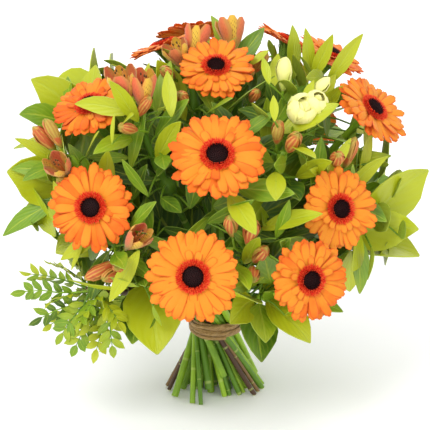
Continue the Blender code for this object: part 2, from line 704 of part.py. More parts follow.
def standing(bodies, plain):
    """A search tree of the heads, the tie and all the stems, a sprig's as thick as its nodes."""
    still = [body[1:] for body in bodies.values()]
    for rings, line in plain.values():
        swollen = [ring.mean(axis=0) + (ring - ring.mean(axis=0)) * SWELL for ring in rings]
        still.append(stack(swollen, line[-1] + unit(line[-1] - line[-2]) * TIP))
    corners, shapes = [], []
    for points, faces in still:
        shapes += [tuple(v + len(corners) for v in face) for face in faces]
        corners += [tuple(p) for p in points]
    return BVHTree.FromPolygons(corners, shapes)


def find_slots(rings, line):
    """The quads that a leaf can grow from, by place along the stem and side, with the way each one faces."""
    spans = run_along(line)
    stretch = spans[-1] - spans[1]
    slots = {}
    for at_node in np.arange(spans[-1] - 0.0035, spans[1] + 0.15 * stretch, -NODE_EVERY):
        k = int(np.searchsorted(spans, at_node, side="right") - 1)
        if min(at_node - spans[k], spans[k + 1] - at_node) < 0.003:
            at_node = spans[k] + 0.003 if at_node - spans[k] < 0.003 else spans[k + 1] - 0.003
        low, high = node_rings(rings, spans, at_node)
        middle = (low.mean(axis=0) + high.mean(axis=0)) / 2
        for side in range(SIDES):
            ahead = (side + 1) % SIDES
            quad = np.array((low[side], low[ahead], high[ahead], high[side]))
            slots[(float(at_node), side)] = (quad, unit(quad.mean(axis=0) - middle))
    return slots


def fill_specs(index, kind, line):
    """Leaves spread evenly up the stem from above the tie, each turned on from the one before."""
    every, form, length, width = FILL[kind]
    spans = run_along(line)
    begin = np.interp(WAIST + BARE, line[:, 2], spans)
    specs = []
    for j, span in enumerate(np.arange(0.92 * spans[-1], begin, -every)):
        k = min(int(np.searchsorted(spans, span)), len(line) - 2)
        tangent = unit(line[k + 1] - line[k])
        first, second = across(tangent)
        angle = 2.4 * j + 1.3 * index
        way = unit(0.9 * (math.cos(angle) * first + math.sin(angle) * second) + 0.6 * tangent)
        specs.append((form, line[k] + way * length * 1.2, length, width))
    return specs


def grow_sprigs(plain, fixed):
    """Grows the leaves, buds and flowers of all sprigs in turn, each clear of those before it."""
    wanted = {}
    for index, (name, _, drawn) in enumerate(SPRIGS):
        near_top = [(form, place(*tip), length / 1000, width / 1000) for form, tip, length, width in drawn]
        wanted[name] = near_top + fill_specs(index, name.split("_")[0], plain[name][1])
    slots = {name: find_slots(*plain[name]) for name in plain}
    sprouts = {name: [] for name in plain}
    all_points, all_faces, grown = [], [], None
    for turn in range(max(len(specs) for specs in wanted.values())):
        for name, specs in wanted.items():
            if turn >= len(specs):
                continue
            key, rings, end = grow(slots[name], specs[turn], fixed, grown)
            quad, _ = slots[name].pop(key)
            sprouts[name].append((key, rings, end))
            points, faces = organ_tree([quad] + rings, end)
            all_faces += [tuple(v + len(all_points) for v in face) for face in faces]
            all_points += points
            grown = BVHTree.FromPolygons(all_points, all_faces)
    return sprouts


def sprig_body(rings, line, sprouts):
    """One closed mesh of a sprig's stem, with a swollen node wherever something grows from it."""
    spans = run_along(line)
    levels = list(zip(spans, rings))
    for at_node in sorted({key[0] for key, _, _ in sprouts}):
        low, high = node_rings(rings, spans, at_node)
        levels += [(at_node - NODE_HALF, low), (at_node + NODE_HALF, high)]
    levels.sort(key=lambda level: level[0])
    tip = line[-1] + unit(line[-1] - line[-2]) * TIP
    points, faces = stack([ring for _, ring in levels], tip)
    heights = [round(span, 7) for span, _ in levels]
    for (at_node, side), organ, end in sprouts:
        low = heights.index(round(at_node - NODE_HALF, 7)) * SIDES
        high, ahead = low + SIDES, (side + 1) % SIDES
        add_organ(points, faces, (low + side, low + ahead, high + ahead, high + side), organ, end)
    return points, faces


def main():
    for thing in list(bpy.data.objects):
        bpy.data.objects.remove(thing)

    axes = np.array([facing(*row[4:]) for row in GERBERAS])
    sizes = np.array([BLOOM * row[3] for row in GERBERAS])
    centres = settle_blooms(np.array([place(*row[:3]) for row in GERBERAS]), axes, sizes)
    kinds = ["stem"] * len(GERBERAS) + [name.split("_")[0] for name, _, _ in SPRIGS]
    radii = np.array([KINDS[kind][0] for kind in kinds])
    tops = np.concatenate((centres, [place(*top) for _, top, _ in SPRIGS]))
    at, lines, cuts = stem_paths(tops, centres, axes, sizes, radii)

    bodies = {}
    for i in range(len(GERBERAS)):
        bodies |= gerbera_bodies(f"gerbera_{i + 1:02d}", centres[i], axes[i], sizes[i], lines[i], cuts[i])
    bodies["twine"] = ("twine", *tie_mesh(at, radii))

    plain = {}
    for i, (name, _, _) in enumerate(SPRIGS, len(GERBERAS)):
        thick = [radii[i]] * (len(lines[i]) - 1) + [radii[i] * 0.8]
        plain[name] = tube_rings(lines[i], thick, cuts[i]), lines[i]
    sprouts = grow_sprigs(plain, standing(bodies, plain))
    for name, (rings, line) in plain.items():
        bodies[name] = (name.split("_")[0], *sprig_body(rings, line, sprouts[name]))

    for name, (kind, points, faces) in bodies.items():
        build(name, kind, points, faces)


main()
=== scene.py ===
"""Dresses a hand-tied bunch of gerberas, alstroemeria and mixed leaves on its plain CAD frame.

Each flower, leaf and stem is modelled once as a flat or straight pattern, by Blender's own mesh
operators, and each copy is then laid along the line that its plain solid takes in the frame.
Patterns are 1 long along +Y, with their front towards +Z and their half-width or radius as 1.
"""

import functools
import math

import bmesh
import bpy
import numpy as np
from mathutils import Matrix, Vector


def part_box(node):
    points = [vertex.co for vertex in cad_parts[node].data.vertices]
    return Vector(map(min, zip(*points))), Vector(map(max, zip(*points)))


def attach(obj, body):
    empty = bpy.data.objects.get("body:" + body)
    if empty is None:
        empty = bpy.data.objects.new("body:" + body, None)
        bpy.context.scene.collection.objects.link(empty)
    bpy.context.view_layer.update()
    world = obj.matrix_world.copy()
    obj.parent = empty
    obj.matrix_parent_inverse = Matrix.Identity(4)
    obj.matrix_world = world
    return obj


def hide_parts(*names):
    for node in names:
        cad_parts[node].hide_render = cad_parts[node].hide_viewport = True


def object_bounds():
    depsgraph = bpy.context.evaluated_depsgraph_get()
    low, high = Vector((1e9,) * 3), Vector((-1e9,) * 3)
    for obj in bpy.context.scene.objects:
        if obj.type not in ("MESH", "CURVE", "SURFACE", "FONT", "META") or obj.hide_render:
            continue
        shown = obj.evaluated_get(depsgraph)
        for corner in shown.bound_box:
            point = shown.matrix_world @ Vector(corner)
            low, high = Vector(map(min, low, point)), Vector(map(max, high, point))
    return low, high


bl_info = {
    "name": "Hand-tied gerbera bunch",
    "version": (1, 0, 0),
    "blender": (4, 5, 0),
    "location": "3D View > Sidebar > Bunch",
    "description": "Models the petals, leaves, stems and tie of a hand-tied bunch of flowers",
    "category": "Object",
}

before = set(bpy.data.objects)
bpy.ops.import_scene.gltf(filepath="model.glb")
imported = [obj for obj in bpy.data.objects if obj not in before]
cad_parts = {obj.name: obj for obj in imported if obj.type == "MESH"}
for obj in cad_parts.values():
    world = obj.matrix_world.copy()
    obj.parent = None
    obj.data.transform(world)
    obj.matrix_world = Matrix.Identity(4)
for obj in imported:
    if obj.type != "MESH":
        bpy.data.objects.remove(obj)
CAD_BOX = [list(corner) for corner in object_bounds()]
NODES = sorted(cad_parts)
GERBERAS = sorted(name[:-6] for name in NODES if name.endswith("_bloom"))
TWINE_LOW, TWINE_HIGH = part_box("twine")
UP = np.array((0.0, 0.0, 1.0))
MM = 0.001


def tint(code):
    """The linear colour of a web colour."""
    parts = [int(code[k:k + 2], 16) / 255 for k in (0, 2, 4)]
    return tuple(p / 12.92 if p <= 0.04045 else ((p + 0.055) / 1.055) ** 2.4 for p in parts)


def unit(vectors):
    """The vectors, each made 1 long."""
    return vectors / np.linalg.norm(vectors, axis=-1, keepdims=True)


def beside(way):
    """A way at right angles to another, level where that can be."""
    return unit(np.cross(way, UP if abs(way[2]) < 0.9 else (0.0, 1.0, 0.0)))


# ---------------------------------------------------------------- sizes and colours


def size(name, description, default):
    return bpy.props.FloatProperty(
        name=name, description=description, default=default, unit="LENGTH", min=0.0)


def share(name, description, default):
    return bpy.props.FloatProperty(
        name=name, description=description, default=default, subtype="FACTOR", min=0.0, max=2.0)


def colour(name, description, code):
    return bpy.props.FloatVectorProperty(
        name=name, description=description, default=tint(code), subtype="COLOR", size=3, min=0.0, max=1.0)


def number(name, description, default):
    return bpy.props.IntProperty(name=name, description=description, default=default, min=1)


class BunchGerberaSettings(bpy.types.PropertyGroup):
    petals: number("Petals", "Ray petals in the outer row of a head", 25)
    petal_width: share("Petal width", "Half-width of a petal against the head's radius", 0.120)
    petal_light: colour("Upper petal colour", "Light orange of the petals", "E68E22")
    petal_deep: colour("Lower petal colour", "Deeper orange towards a petal's tip", "E2650F")
    # This red-orange is partly the petals' own colour, at their tips and lines, and partly painted shade, on
    # their edges and undersides.
    petal_red: colour("Petal edge colour", "Red-orange of the undersides and edges", "DA4A12")
    ring_out: size("Ring radius", "Outer radius of the red ring of short florets", 12.6 * MM)
    ring_in: size("Dark centre radius", "Radius of the dark disc of closed florets", 9.3 * MM)
    ring_colour: colour("Ring colour", "Bright red of the short florets", "DC2A10")
    ring_tip: colour("Ring tip colour", "Light tips of the short florets", "F0642E")
    disc_colour: colour("Disc colour", "Near-black maroon of the closed florets", "200203")
    stem_light: colour("Stem colour", "Fresh green of the stems", "A0C62C")
    stem_dark: colour("Shaded stem colour", "Darker green of the older stems", "5C861A")


class BunchLeafSettings(bpy.types.PropertyGroup):
    thick: share("Leaf thickness", "Thickness of a leaf against its half-width", 0.05)
    fold: share("Fold", "How far the two halves of a leaf rise from the midrib", 0.22)
    # The yellow-green goes to the outer leaves of the bunch and the dark green to the inner ones: painted
    # light and shade, on top of tones picked at random.
    lit_and_fresh: colour("Fresh leaf colour", "Yellow-green of young leaves", "B2BA16")
    mid: colour("Leaf colour", "Middle green of the leaves", "6E9414")
    dark: colour("Dark leaf colour", "Dark green of the inner leaves", "365A0E")
    vein: colour("Vein colour", "Pale green of the midrib", "B4C23A")
    under: colour("Underside colour", "Grey-green of the leaf's back", "86A046")


class BunchFlowerSettings(bpy.types.PropertyGroup):
    bud_red: colour("Bud colour", "Orange-red of the alstroemeria buds", "C4522E")
    bud_gold: colour("Bud side colour", "Golden side of the buds", "D8984A")
    bud_green: colour("Bud base colour", "Green base and tips of the buds", "98A23C")
    tepal: colour("Tepal colour", "Pinkish orange of the half-open flowers", "DA6840")
    streak: colour("Streak colour", "Dark red streaks of the inner tepals", "7A1C14")
    cream: colour("Cream colour", "Cream-yellow of the freesia-like flowers", "FBF3A0")
    cream_base: colour("Cream base colour", "Green-yellow at the foot of the cream petals", "C9D65A")


class BunchTieSettings(bpy.types.PropertyGroup):
    strand: size("Strand width", "Width of one flat strand of the tie", 3.4 * MM)
    turns: number("Turns", "Turns of the first layer of the tie", 7)
    straw: colour("Straw colour", "Light tan of the fibres", "BE9A62")
    shade: colour("Shaded straw colour", "Brown between the fibres", "8A6636")


class BunchStageSettings(bpy.types.PropertyGroup):
    distance: size("Camera distance", "How far the camera stands from the bunch", 1.6)
    elevation: bpy.props.FloatProperty(
        name="Camera elevation", description="How far above the horizon the camera looks from",
        default=math.radians(20), subtype="ANGLE")
    lens: bpy.props.FloatProperty(
        name="Lens", description="Focal length on a 36 mm sensor", default=145.6, unit="CAMERA")
    floor: colour("Floor colour", "Plain pale floor", "FFFFFF")


# ---------------------------------------------------------------- finishes


class Value:
    """A socket of a material that can be used in sums; each sum adds its Math node."""

    def __init__(self, finish, socket):
        self.finish, self.socket = finish, socket

    def _math(self, operation, *values):
        return self.finish.node("ShaderNodeMath", {"operation": operation}, *values)

    def __add__(self, other):
        return self._math("ADD", self, other)

    def __sub__(self, other):
        return self._math("SUBTRACT", self, other)

    def __rsub__(self, other):
        return self._math("SUBTRACT", other, self)

    def __mul__(self, other):
        return self._math("MULTIPLY", self, other)

    def __abs__(self):
        return self._math("ABSOLUTE", self)

    def wave(self):
        """A wave between 0 and 1, with this value as its angle."""
        return self._math("SINE", self) * 0.5 + 0.5

    def between(self, low, high):
        """0 at or below `low`, 1 at or above `high`, and smooth between."""
        smooth = {"interpolation_type": "SMOOTHSTEP"}
        return self.finish.node("ShaderNodeMapRange", smooth, self, low, high, 0.0, 1.0)

    __radd__, __rmul__ = __add__, __mul__


class Finish:
    """A material that is made node by node, with readings that every finish starts from."""

    def __init__(self, name, **constants):
        self.material = bpy.data.materials.new(name)
        self.material.use_nodes = True
        self.tree = self.material.node_tree
        self.shader = self.tree.nodes["Principled BSDF"]
        for socket, value in constants.items():
            self.put(self.shader.inputs[socket.replace("_", " ")], value)

    def put(self, socket, value):
        if isinstance(value, Value):
            self.tree.links.new(value.socket, socket)
        elif value is not None:
            socket.default_value = value

    def node(self, kind, settings, *inputs, out=0, **named):
        """A node with these settings. `inputs` go to its first sockets, `named` to those of that name."""
        made = self.tree.nodes.new(kind)
        for name, value in settings.items():
            setattr(made, name, value)
        for socket, value in zip(made.inputs, inputs):
            self.put(socket, value)
        for name, value in named.items():
            self.put(made.inputs[name], value)
        return Value(self, made.outputs[out])

    def coats(self, base, *coats):
        """A base colour under coats of others, each (mask, colour), which cover it where the mask is 1."""
        unused = [None] * 5
        for mask, over in coats:
            pair = [shade if isinstance(shade, Value) else (*shade, 1) for shade in (base, over)]
            base = self.node("ShaderNodeMix", {"data_type": "RGBA"}, mask, *unused, *pair, out=2)
        return base

    def attribute(self, name):
        return self.node("ShaderNodeAttribute", {"attribute_name": name}, out=2)

    def place(self):
        return self.node("ShaderNodeTexCoord", {}, out=3)

    def pattern(self):
        """Across and along the pattern, each from 0 to 1, and the copy's own tone."""
        spot = self.node("ShaderNodeUVMap", {"uv_map": "pattern"})
        across, along = [self.node("ShaderNodeSeparateXYZ", {}, spot, out=k) for k in (0, 1)]
        return across, along, self.attribute("tone")

    def noise(self, where, scale, detail=2.0, rough=0.5):
        return self.node("ShaderNodeTexNoise", {}, where, None, scale, detail, rough)

    def done(self, colour, rough, height=None, strength=1.0, distance=MM):
        """The material, with its colour, its roughness and the bump of its surface."""
        bump = None
        if height is not None:
            bump = self.node("ShaderNodeBump", {}, Strength=strength, Distance=distance, Height=height)
        for socket, value in (("Base Color", colour), ("Roughness", rough), ("Normal", bump)):
            self.put(self.shader.inputs[socket], value)
        return self.material


def petal_finish(looks):
    # The weak emission is painted light: a glow on the petals' undersides.
    made = Finish(
        "petal", Sheen_Weight=0.08, Sheen_Roughness=0.5, Specular_IOR_Level=0.2, Emission_Strength=0.16)
    u, v, tone = made.pattern()
    edge = abs(u * 2 - 1)
    cloud = made.noise(made.place(), 90.0)
    lines = (u * 70 + tone * 9).wave()
    under = 1 - made.attribute("top")
    base = made.coats(
        looks.petal_light,
        ((v - 0.60 + (tone - 0.5) * 0.7).between(0.0, 0.75), looks.petal_deep),
        (((cloud - 0.45) * 0.9 + (tone - 0.78) * 2.0).between(0.0, 0.6) * 0.7, looks.petal_deep),
        # Painted shade: the petal edges are coated redder, for the shade in the creases between the petals.
        ((edge - 0.78 + v * 0.14).between(0.0, 0.26) * 0.75, looks.petal_red),
        ((v - 0.86 + (cloud - 0.5) * 0.3).between(0.0, 0.2) * tone * 0.5, looks.petal_red),
        # The undersides are coated a little redder and darker: partly their own colour, partly painted
        # shade.
        (under * 0.25, looks.petal_red),
        (lines * (1 - v * 0.5) * 0.16, looks.petal_red))
    # Painted light: the undersides glow with the deeper orange, as if lit through the petals.
    black = (0.0, 0.0, 0.0)
    made.put(made.shader.inputs["Emission Color"], made.coats(black, (under, looks.petal_deep)))
    return made.done(base, 0.48 + cloud * 0.2, lines, 0.35, 0.4 * MM)


def floret_finish(name, foot, tip, share_tip):
    made = Finish(name, Specular_IOR_Level=0.3)
    _, v, tone = made.pattern()
    cloud = made.noise(made.place(), 900.0)
    base = made.coats(foot, ((v - 0.62 + (tone - 0.5) * 0.5).between(0.0, 0.35) * share_tip, tip))
    return made.done(base, 0.5 + cloud * 0.3, cloud, 0.3, 0.2 * MM)


def leaf_finish(name, looks, veins, gloss, greenness):
    """`greenness` is the share of the leaves that are more dark than light green."""
    made = Finish(name, Specular_IOR_Level=0.45)
    u, v, tone = made.pattern()
    edge = abs(u * 2 - 1)
    cloud = made.noise(made.place(), 38.0, 3.0)
    ribs = ((v * veins - edge * veins * 0.42) * math.tau).wave()
    midrib = 1 - edge.between(0.035, 0.11)
    # The tone picks dark, mid or light green: partly at random, partly painted shade, lower for leaves deep
    # in the bunch.
    base = made.coats(
        looks.dark,
        ((tone + (cloud - 0.5) * 0.5 - greenness + 0.25).between(0.0, 0.30), looks.mid),
        ((tone + (cloud - 0.5) * 0.4 - greenness).between(0.0, 0.40), looks.lit_and_fresh),
        ((v.between(0.86, 1.0) * 0.4 + edge.between(0.86, 1.0) * 0.3) * cloud, looks.vein),
        (ribs.between(0.80, 1.0) * 0.10 + ribs * 0.06, looks.vein),
        (midrib * 0.5, looks.vein),
        ((1 - made.attribute("top")) * 0.55, looks.under))
    height = ribs * -0.5 - midrib * 1.2 + cloud * 0.5
    return made.done(base, gloss + cloud * 0.18, height, 0.40, 0.6 * MM)


def stem_finish(name, light, dark, spots):
    made = Finish(name, Specular_IOR_Level=0.45)
    u, v, tone = made.pattern()
    where = made.place()
    cloud = made.noise(where, 60.0, 3.0)
    fine = made.noise(where, 700.0)
    lines = (u * math.tau * 7).wave()
    rings = ((v * 5.2 + tone) * math.tau).wave().between(0.9925, 1.0)
    height_up = made.node("ShaderNodeSeparateXYZ", {}, where, out=2)
    base = made.coats(
        dark,
        ((tone + (cloud - 0.5) * 0.7 - 0.25).between(0.0, 0.7), light),
        (lines * 0.18, dark),
        (rings * 0.5, tint("C2CE72")),
        (fine.between(0.62, 0.75) * spots, tint("5B3A25")),
        ((1 - height_up.between(0.4 * MM, 1.0 * MM)) * 0.8, tint("D9DFA0")))
    return made.done(base, 0.38 + fine * 0.22, lines * 0.6 + fine * 0.4 + rings * 1.5, 0.25, 0.4 * MM)


def bud_finish(looks):
    made = Finish("alstroemeria bud", Specular_IOR_Level=0.35)
    u, v, tone = made.pattern()
    cloud = made.noise(made.place(), 130.0, 3.0)
    bands = ((u * 3 + v * 0.55) * math.tau).wave()
    stripes = (u * math.tau * 15 + cloud * 5).wave()
    base = made.coats(
        looks.bud_red,
        ((bands + cloud * 0.6 - 0.95 + tone * 0.7).between(0.0, 0.7), looks.bud_gold),
        (stripes * 0.25 + (tone - 0.65).between(0.0, 0.3) * 0.4, looks.bud_green),
        ((1 - v.between(0.02, 0.26)) * 0.85, looks.bud_green),
        (v.between(0.88, 1.0) * 0.7, looks.bud_green),
        (((cloud - 0.56) * 3).between(0.0, 0.6) * 0.5, looks.streak))
    return made.done(base, 0.42 + cloud * 0.25, bands + cloud * 0.4, 0.4, 0.6 * MM)


def tepal_finish(name, light, foot, streak, streaks):
    made = Finish(name, Sheen_Weight=0.2, Specular_IOR_Level=0.3)
    u, v, tone = made.pattern()
    edge = abs(u * 2 - 1)
    cloud = made.noise(made.place(), 110.0, 3.0)
    lines = (u * 44 + cloud * 4).wave()
    dashes = (v * 60 + u * 30).wave().between(0.6, 0.8)
    heart = (1 - edge.between(0.5, 0.8)) * v.between(0.25, 0.45) * (1 - v.between(0.7, 0.9))
    base = made.coats(
        light,
        ((1 - v.between(0.10, 0.55)) * 0.85, foot),
        ((edge - 0.55 + cloud * 0.3).between(0.0, 0.5) * 0.35 + tone * 0.15, foot),
        (lines.between(0.72, 0.90) * heart * dashes * streaks, streak))
    return made.done(base, 0.5 + cloud * 0.2, lines, 0.25, 0.4 * MM)


def straw_finish(looks):
    made = Finish("straw twine", Sheen_Weight=0.2, Specular_IOR_Level=0.25)
    u, v, tone = made.pattern()
    along = made.node("ShaderNodeCombineXYZ", {}, u * 22, v * 60, tone * 5)
    fibre = made.noise(along, 1.0, 4.0, 0.65)
    patch = made.noise(made.place(), 140.0, 2.0)
    base = made.coats(
        looks.shade,
        ((fibre - 0.34).between(0.0, 0.30), looks.straw),
        ((patch - 0.55).between(0.0, 0.25) * 0.5, tint("D8BE92")),
        ((0.40 - patch).between(0.0, 0.15) * 0.5, tint("5E4426")))
    return made.done(base, 0.8 + fibre * 0.15, fibre, 0.8, 1.2 * MM)


# ---------------------------------------------------------------- patterns


ASIDE = 4.0  # how far a finished row waits beyond the others, out of their way
CLOSE = 1e-4  # points nearer than this are on the same row


def select(test):
    """Selects the vertices of the mesh being edited that pass the test, and nothing else."""
    bpy.ops.mesh.select_all(action="DESELECT")
    bpy.context.tool_settings.mesh_select_mode = (True, False, False)
    own = bmesh.from_edit_mesh(bpy.context.object.data)
    for point in own.verts:
        point.select_set(bool(test(point.co)))
    own.select_flush(True)
    bmesh.update_edit_mesh(bpy.context.object.data)


class Pattern:
    """The finished mesh of one modelled pattern, ready to be copied."""

    def __init__(self, thing, shell=None):
        """The points from `shell` on are those of the back."""
        mesh = thing.data
        self.points = np.zeros(len(mesh.vertices) * 3)
        mesh.vertices.foreach_get("co", self.points)
        self.points = self.points.reshape(-1, 3)
        self.faces = [tuple(face.vertices) for face in mesh.polygons]
        self.map = np.zeros(len(mesh.loops) * 2)
        mesh.uv_layers.active.data.foreach_get("uv", self.map)
        self.map = self.map.reshape(-1, 2)
        self.top = np.ones(len(self.points))
        if shell:
            self.top[shell:] = 0
        bpy.data.objects.remove(thing)


def flat_pattern(columns, rows, ribs, thick, square_tip=0.0):
    """A leaf or petal: `ribs` lifts each column, and `rows` gives (place along, half-width) of each row."""
    bpy.ops.object.select_all(action="DESELECT")
    bpy.ops.mesh.primitive_grid_add(x_subdivisions=columns, y_subdivisions=len(rows) - 1, size=2)
    thing = bpy.context.object
    bpy.ops.object.mode_set(mode="EDIT")
    for k, lift in enumerate(ribs):
        at = 2 * k / columns - 1
        select(lambda co: abs(co.x - at) < CLOSE)
        bpy.ops.transform.translate(value=(0, 0, lift))
    for j, (along, wide) in enumerate(rows):
        at = 2 * j / (len(rows) - 1) - 1
        select(lambda co: abs(co.y - at) < CLOSE)
        bpy.ops.transform.resize(value=(wide, 1, wide), center_override=(0, at, 0))
        bpy.ops.transform.translate(value=(0, along + ASIDE - at, 0))
    bpy.ops.mesh.select_all(action="SELECT")
    bpy.ops.transform.translate(value=(0, -ASIDE, 0))
    if square_tip:
        tip, wide = rows[-1]
        for at, back in ((0.0, square_tip * 0.5), (1.0, square_tip)):
            select(lambda co: abs(co.y - tip) < CLOSE and abs(abs(co.x) - at * wide) < 10 * CLOSE)
            bpy.ops.transform.translate(value=(0, -back, 0))
    bpy.ops.object.mode_set(mode="OBJECT")
    shell = len(thing.data.vertices)
    wall = thing.modifiers.new("wall", "SOLIDIFY")
    wall.thickness, wall.offset = thick, -1
    bpy.ops.object.modifier_apply(modifier=wall.name)
    return Pattern(thing, shell)


def round_pattern(sides, rows, grooves=0, depth=0.0, twist=0.0):
    """A stem, bud or floret: `rows` gives (place along, radius) of each ring from foot to top."""
    bpy.ops.object.select_all(action="DESELECT")
    bpy.ops.mesh.primitive_cylinder_add(vertices=sides, radius=1, depth=1, end_fill_type="TRIFAN")
    thing = bpy.context.object
    bpy.ops.object.mode_set(mode="EDIT")
    bpy.ops.mesh.select_all(action="DESELECT")
    bpy.context.tool_settings.mesh_select_mode = (False, True, False)
    own = bmesh.from_edit_mesh(thing.data)
    for edge in own.edges:
        edge.select_set(abs(edge.verts[0].co.z - edge.verts[1].co.z) > 0.5)
    bmesh.update_edit_mesh(thing.data)
    bpy.ops.mesh.subdivide_edgering(number_cuts=len(rows) - 2, interpolation="LINEAR", smoothness=0.0)
    bpy.ops.mesh.select_all(action="SELECT")
    bpy.ops.transform.translate(value=(0, 0, 0.5))
    for j, (along, wide) in enumerate(rows):
        at = j / (len(rows) - 1)
        select(lambda co: abs(co.z - at) < CLOSE)
        bpy.ops.transform.resize(value=(wide, wide, 1), center_override=(0, 0, at))
        if twist:
            bpy.ops.transform.rotate(value=twist * along, orient_axis="Z", center_override=(0, 0, at))
        bpy.ops.transform.translate(value=(0, 0, along + ASIDE - at))
    bpy.ops.mesh.select_all(action="SELECT")
    bpy.ops.transform.translate(value=(0, 0, -ASIDE))
    bpy.ops.object.mode_set(mode="OBJECT")
    pattern = Pattern(thing)
    x, y, z = pattern.points.T.copy()
    if grooves:
        turn = np.arctan2(y, x) - twist * z
        pull = 1 - depth * (0.5 + 0.5 * np.cos(grooves * turn)) ** 3
        x, y = x * pull, y * pull
    pattern.points = np.stack((x, z, -y), axis=1)
    flat_map = []
    for face in pattern.faces:
        turns = np.array([math.atan2(y[v], x[v]) for v in face]) / math.tau % 1.0
        if turns.max() - turns.min() > 0.5:
            turns[turns < 0.5] += 1
        flat_map += [(turn, z[v]) for turn, v in zip(turns, face)]
    pattern.map = np.array(flat_map)
    return pattern


# ---------------------------------------------------------------- lines that pieces are laid along


class Line:
    """A smooth curve through some places, with the way that a pattern's width points along it."""

    STEPS = 6

    def __init__(self, knots, across=None):
        knots = np.asarray(knots, float)
        step = np.diff(knots, axis=0)
        far = np.linalg.norm(step, axis=1)[:, None]
        lean = step / far
        ways = (lean[:-1] * far[1:] + lean[1:] * far[:-1]) / (far[:-1] + far[1:])
        ways = np.vstack((lean[:1], ways, lean[-1:]))
        t = np.linspace(0, 1, self.STEPS, endpoint=False)[:, None]
        parts = [  # a cubic from each knot to the next
            (1 + 2 * t) * (1 - t) ** 2 * knots[k] + t * (1 - t) ** 2 * far[k] * ways[k]
            + t * t * (3 - 2 * t) * knots[k + 1] - t * t * (1 - t) * far[k] * ways[k + 1]
            for k in range(len(far))]
        self.line = np.vstack([*parts, knots[-1:]])
        spans = np.append(0, np.linalg.norm(np.diff(self.line, axis=0), axis=1).cumsum())
        self.length = spans[-1]
        self.at = spans / spans[-1]
        self.way = unit(np.gradient(self.line, axis=0))
        if across is None:
            side, sides = beside(self.way[0]), []
            for way in self.way:
                side = unit(side - (side @ way) * way)
                sides.append(side)
            self.side = np.array(sides)
        else:
            across = np.broadcast_to(np.asarray(across, float), knots.shape)
            marks = self.at[::self.STEPS]
            self.side = np.stack([np.interp(self.at, marks, across[:, k]) for k in range(3)], axis=1)

    def read(self, what, at):
        """The line's own places, ways or sides at these shares of its length."""
        return np.stack([np.interp(at, self.at, what[:, k]) for k in range(3)], axis=1)

    def lay(self, pattern, wide, thick=None, bend=0.0):
        """The pattern's points, laid along the line. `wide` is its half-width, one number or one for each
        knot evenly spaced, and `thick` the same across its thickness."""
        x, y, z = pattern.points.T
        thick = wide if thick is None else thick
        wide, thick = [
            np.interp(y, np.linspace(0, 1, len(w)), w) if np.ndim(w) else w for w in (wide, thick)]
        way = unit(self.read(self.way, y))
        side = self.read(self.side, y)
        side = unit(side - (side * way).sum(axis=1)[:, None] * way)
        face = np.cross(side, way)
        lift = z * thick - bend * self.length * y**2
        return self.read(self.line, y) + side * (x * wide)[:, None] + face * lift[:, None]


class Piece:
    """Copies of patterns gathered into one mesh, which stands for one CAD node."""

    def __init__(self, name, *finishes):
        self.name, self.finishes = name, finishes
        self.points, self.faces, self.maps, self.tones, self.tops, self.kinds = [], [], [], [], [], []
        self.count = 0

    def add(self, pattern, points, tone=0.5, finish=0):
        """Adds one copy of a pattern, in a tone from 0 to 1 and in one of the piece's finishes."""
        self.points.append(points)
        self.faces += [tuple(v + self.count for v in face) for face in pattern.faces]
        self.maps.append(pattern.map)
        self.tones.append(np.full(len(points), tone))
        self.tops.append(pattern.top)
        self.kinds += [finish] * len(pattern.faces)
        self.count += len(points)

    def build(self, slot, node, angle=50):
        """Makes the mesh; edges sharper than the angle stay sharp."""
        mesh = bpy.data.meshes.new(self.name)
        mesh.from_pydata(np.concatenate(self.points).tolist(), [], self.faces)
        mesh.polygons.foreach_set("material_index", self.kinds)
        mesh.uv_layers.new(name="pattern").data.foreach_set("uv", np.concatenate(self.maps).ravel())
        for label, values in (("tone", self.tones), ("top", self.tops)):
            mesh.attributes.new(label, "FLOAT", "POINT").data.foreach_set("value", np.concatenate(values))
        for finish in self.finishes:
            mesh.materials.append(finish)
        thing = bpy.data.objects.new(self.name, mesh)
        bpy.context.scene.collection.objects.link(thing)
        bpy.ops.object.select_all(action="DESELECT")
        thing.select_set(True)
        bpy.context.view_layer.objects.active = thing
        bpy.ops.object.shade_smooth_by_angle(angle=math.radians(angle))
        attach(thing, "root")
        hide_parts(node)


# ---------------------------------------------------------------- reading the frame


def welded(node):
    """A copy of a CAD node's mesh with its points joined; the node itself is left alone."""
    own = bmesh.new()
    own.from_mesh(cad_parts[node].data)
    bmesh.ops.remove_doubles(own, verts=own.verts, dist=1e-6)
    own.verts.ensure_lookup_table()
    own.verts.index_update()
    return own


def around(points, seen):
    """The points next to these that have not been met yet."""
    met = {edge.other_vert(v) for v in points for edge in v.link_edges} - seen
    return sorted(met, key=lambda v: v.index)


def places(points):
    """The places of some mesh points, one row each."""
    return np.array([v.co[:] for v in points])


LIMB_SIDES, STEM_SIDES = 4, 6  # corners of each ring of a limb and of a stem
FORMS = {4: "leaflet", 5: "leaf", 6: "bud", 7: "flower"}  # by how many rings a limb has


class Limb:
    """One leaf, bud or flower of a sprig: middles of its rings from the stem to the tip, and their sides."""

    def __init__(self, form, rings, tip):
        self.form = form
        self.middles = np.array([ring.mean(axis=0) for ring in rings] + [tip])
        half, sides = [], []
        for ring in rings:
            gaps = [(np.linalg.norm(ring[a] - ring[b]), a, b) for a in range(LIMB_SIDES) for b in range(a)]
            far, a, b = max(gaps)
            half.append(far / 2)
            side = unit(ring[a] - ring[b])
            sides.append(-side if sides and side @ sides[-1] < 0 else side)
        self.sides = np.array(sides + sides[-1:])
        self.wide = max(half[1:])
        way = unit(self.middles[-1] - self.middles[0])
        middle = self.middles[len(rings) // 2]
        to_light = np.array((2.0 * middle[0], 2.0 * middle[1] - 0.22, 0.20))  # outwards, to the front and up
        if np.cross(self.sides[-2], way) @ to_light < 0:
            self.sides = -self.sides


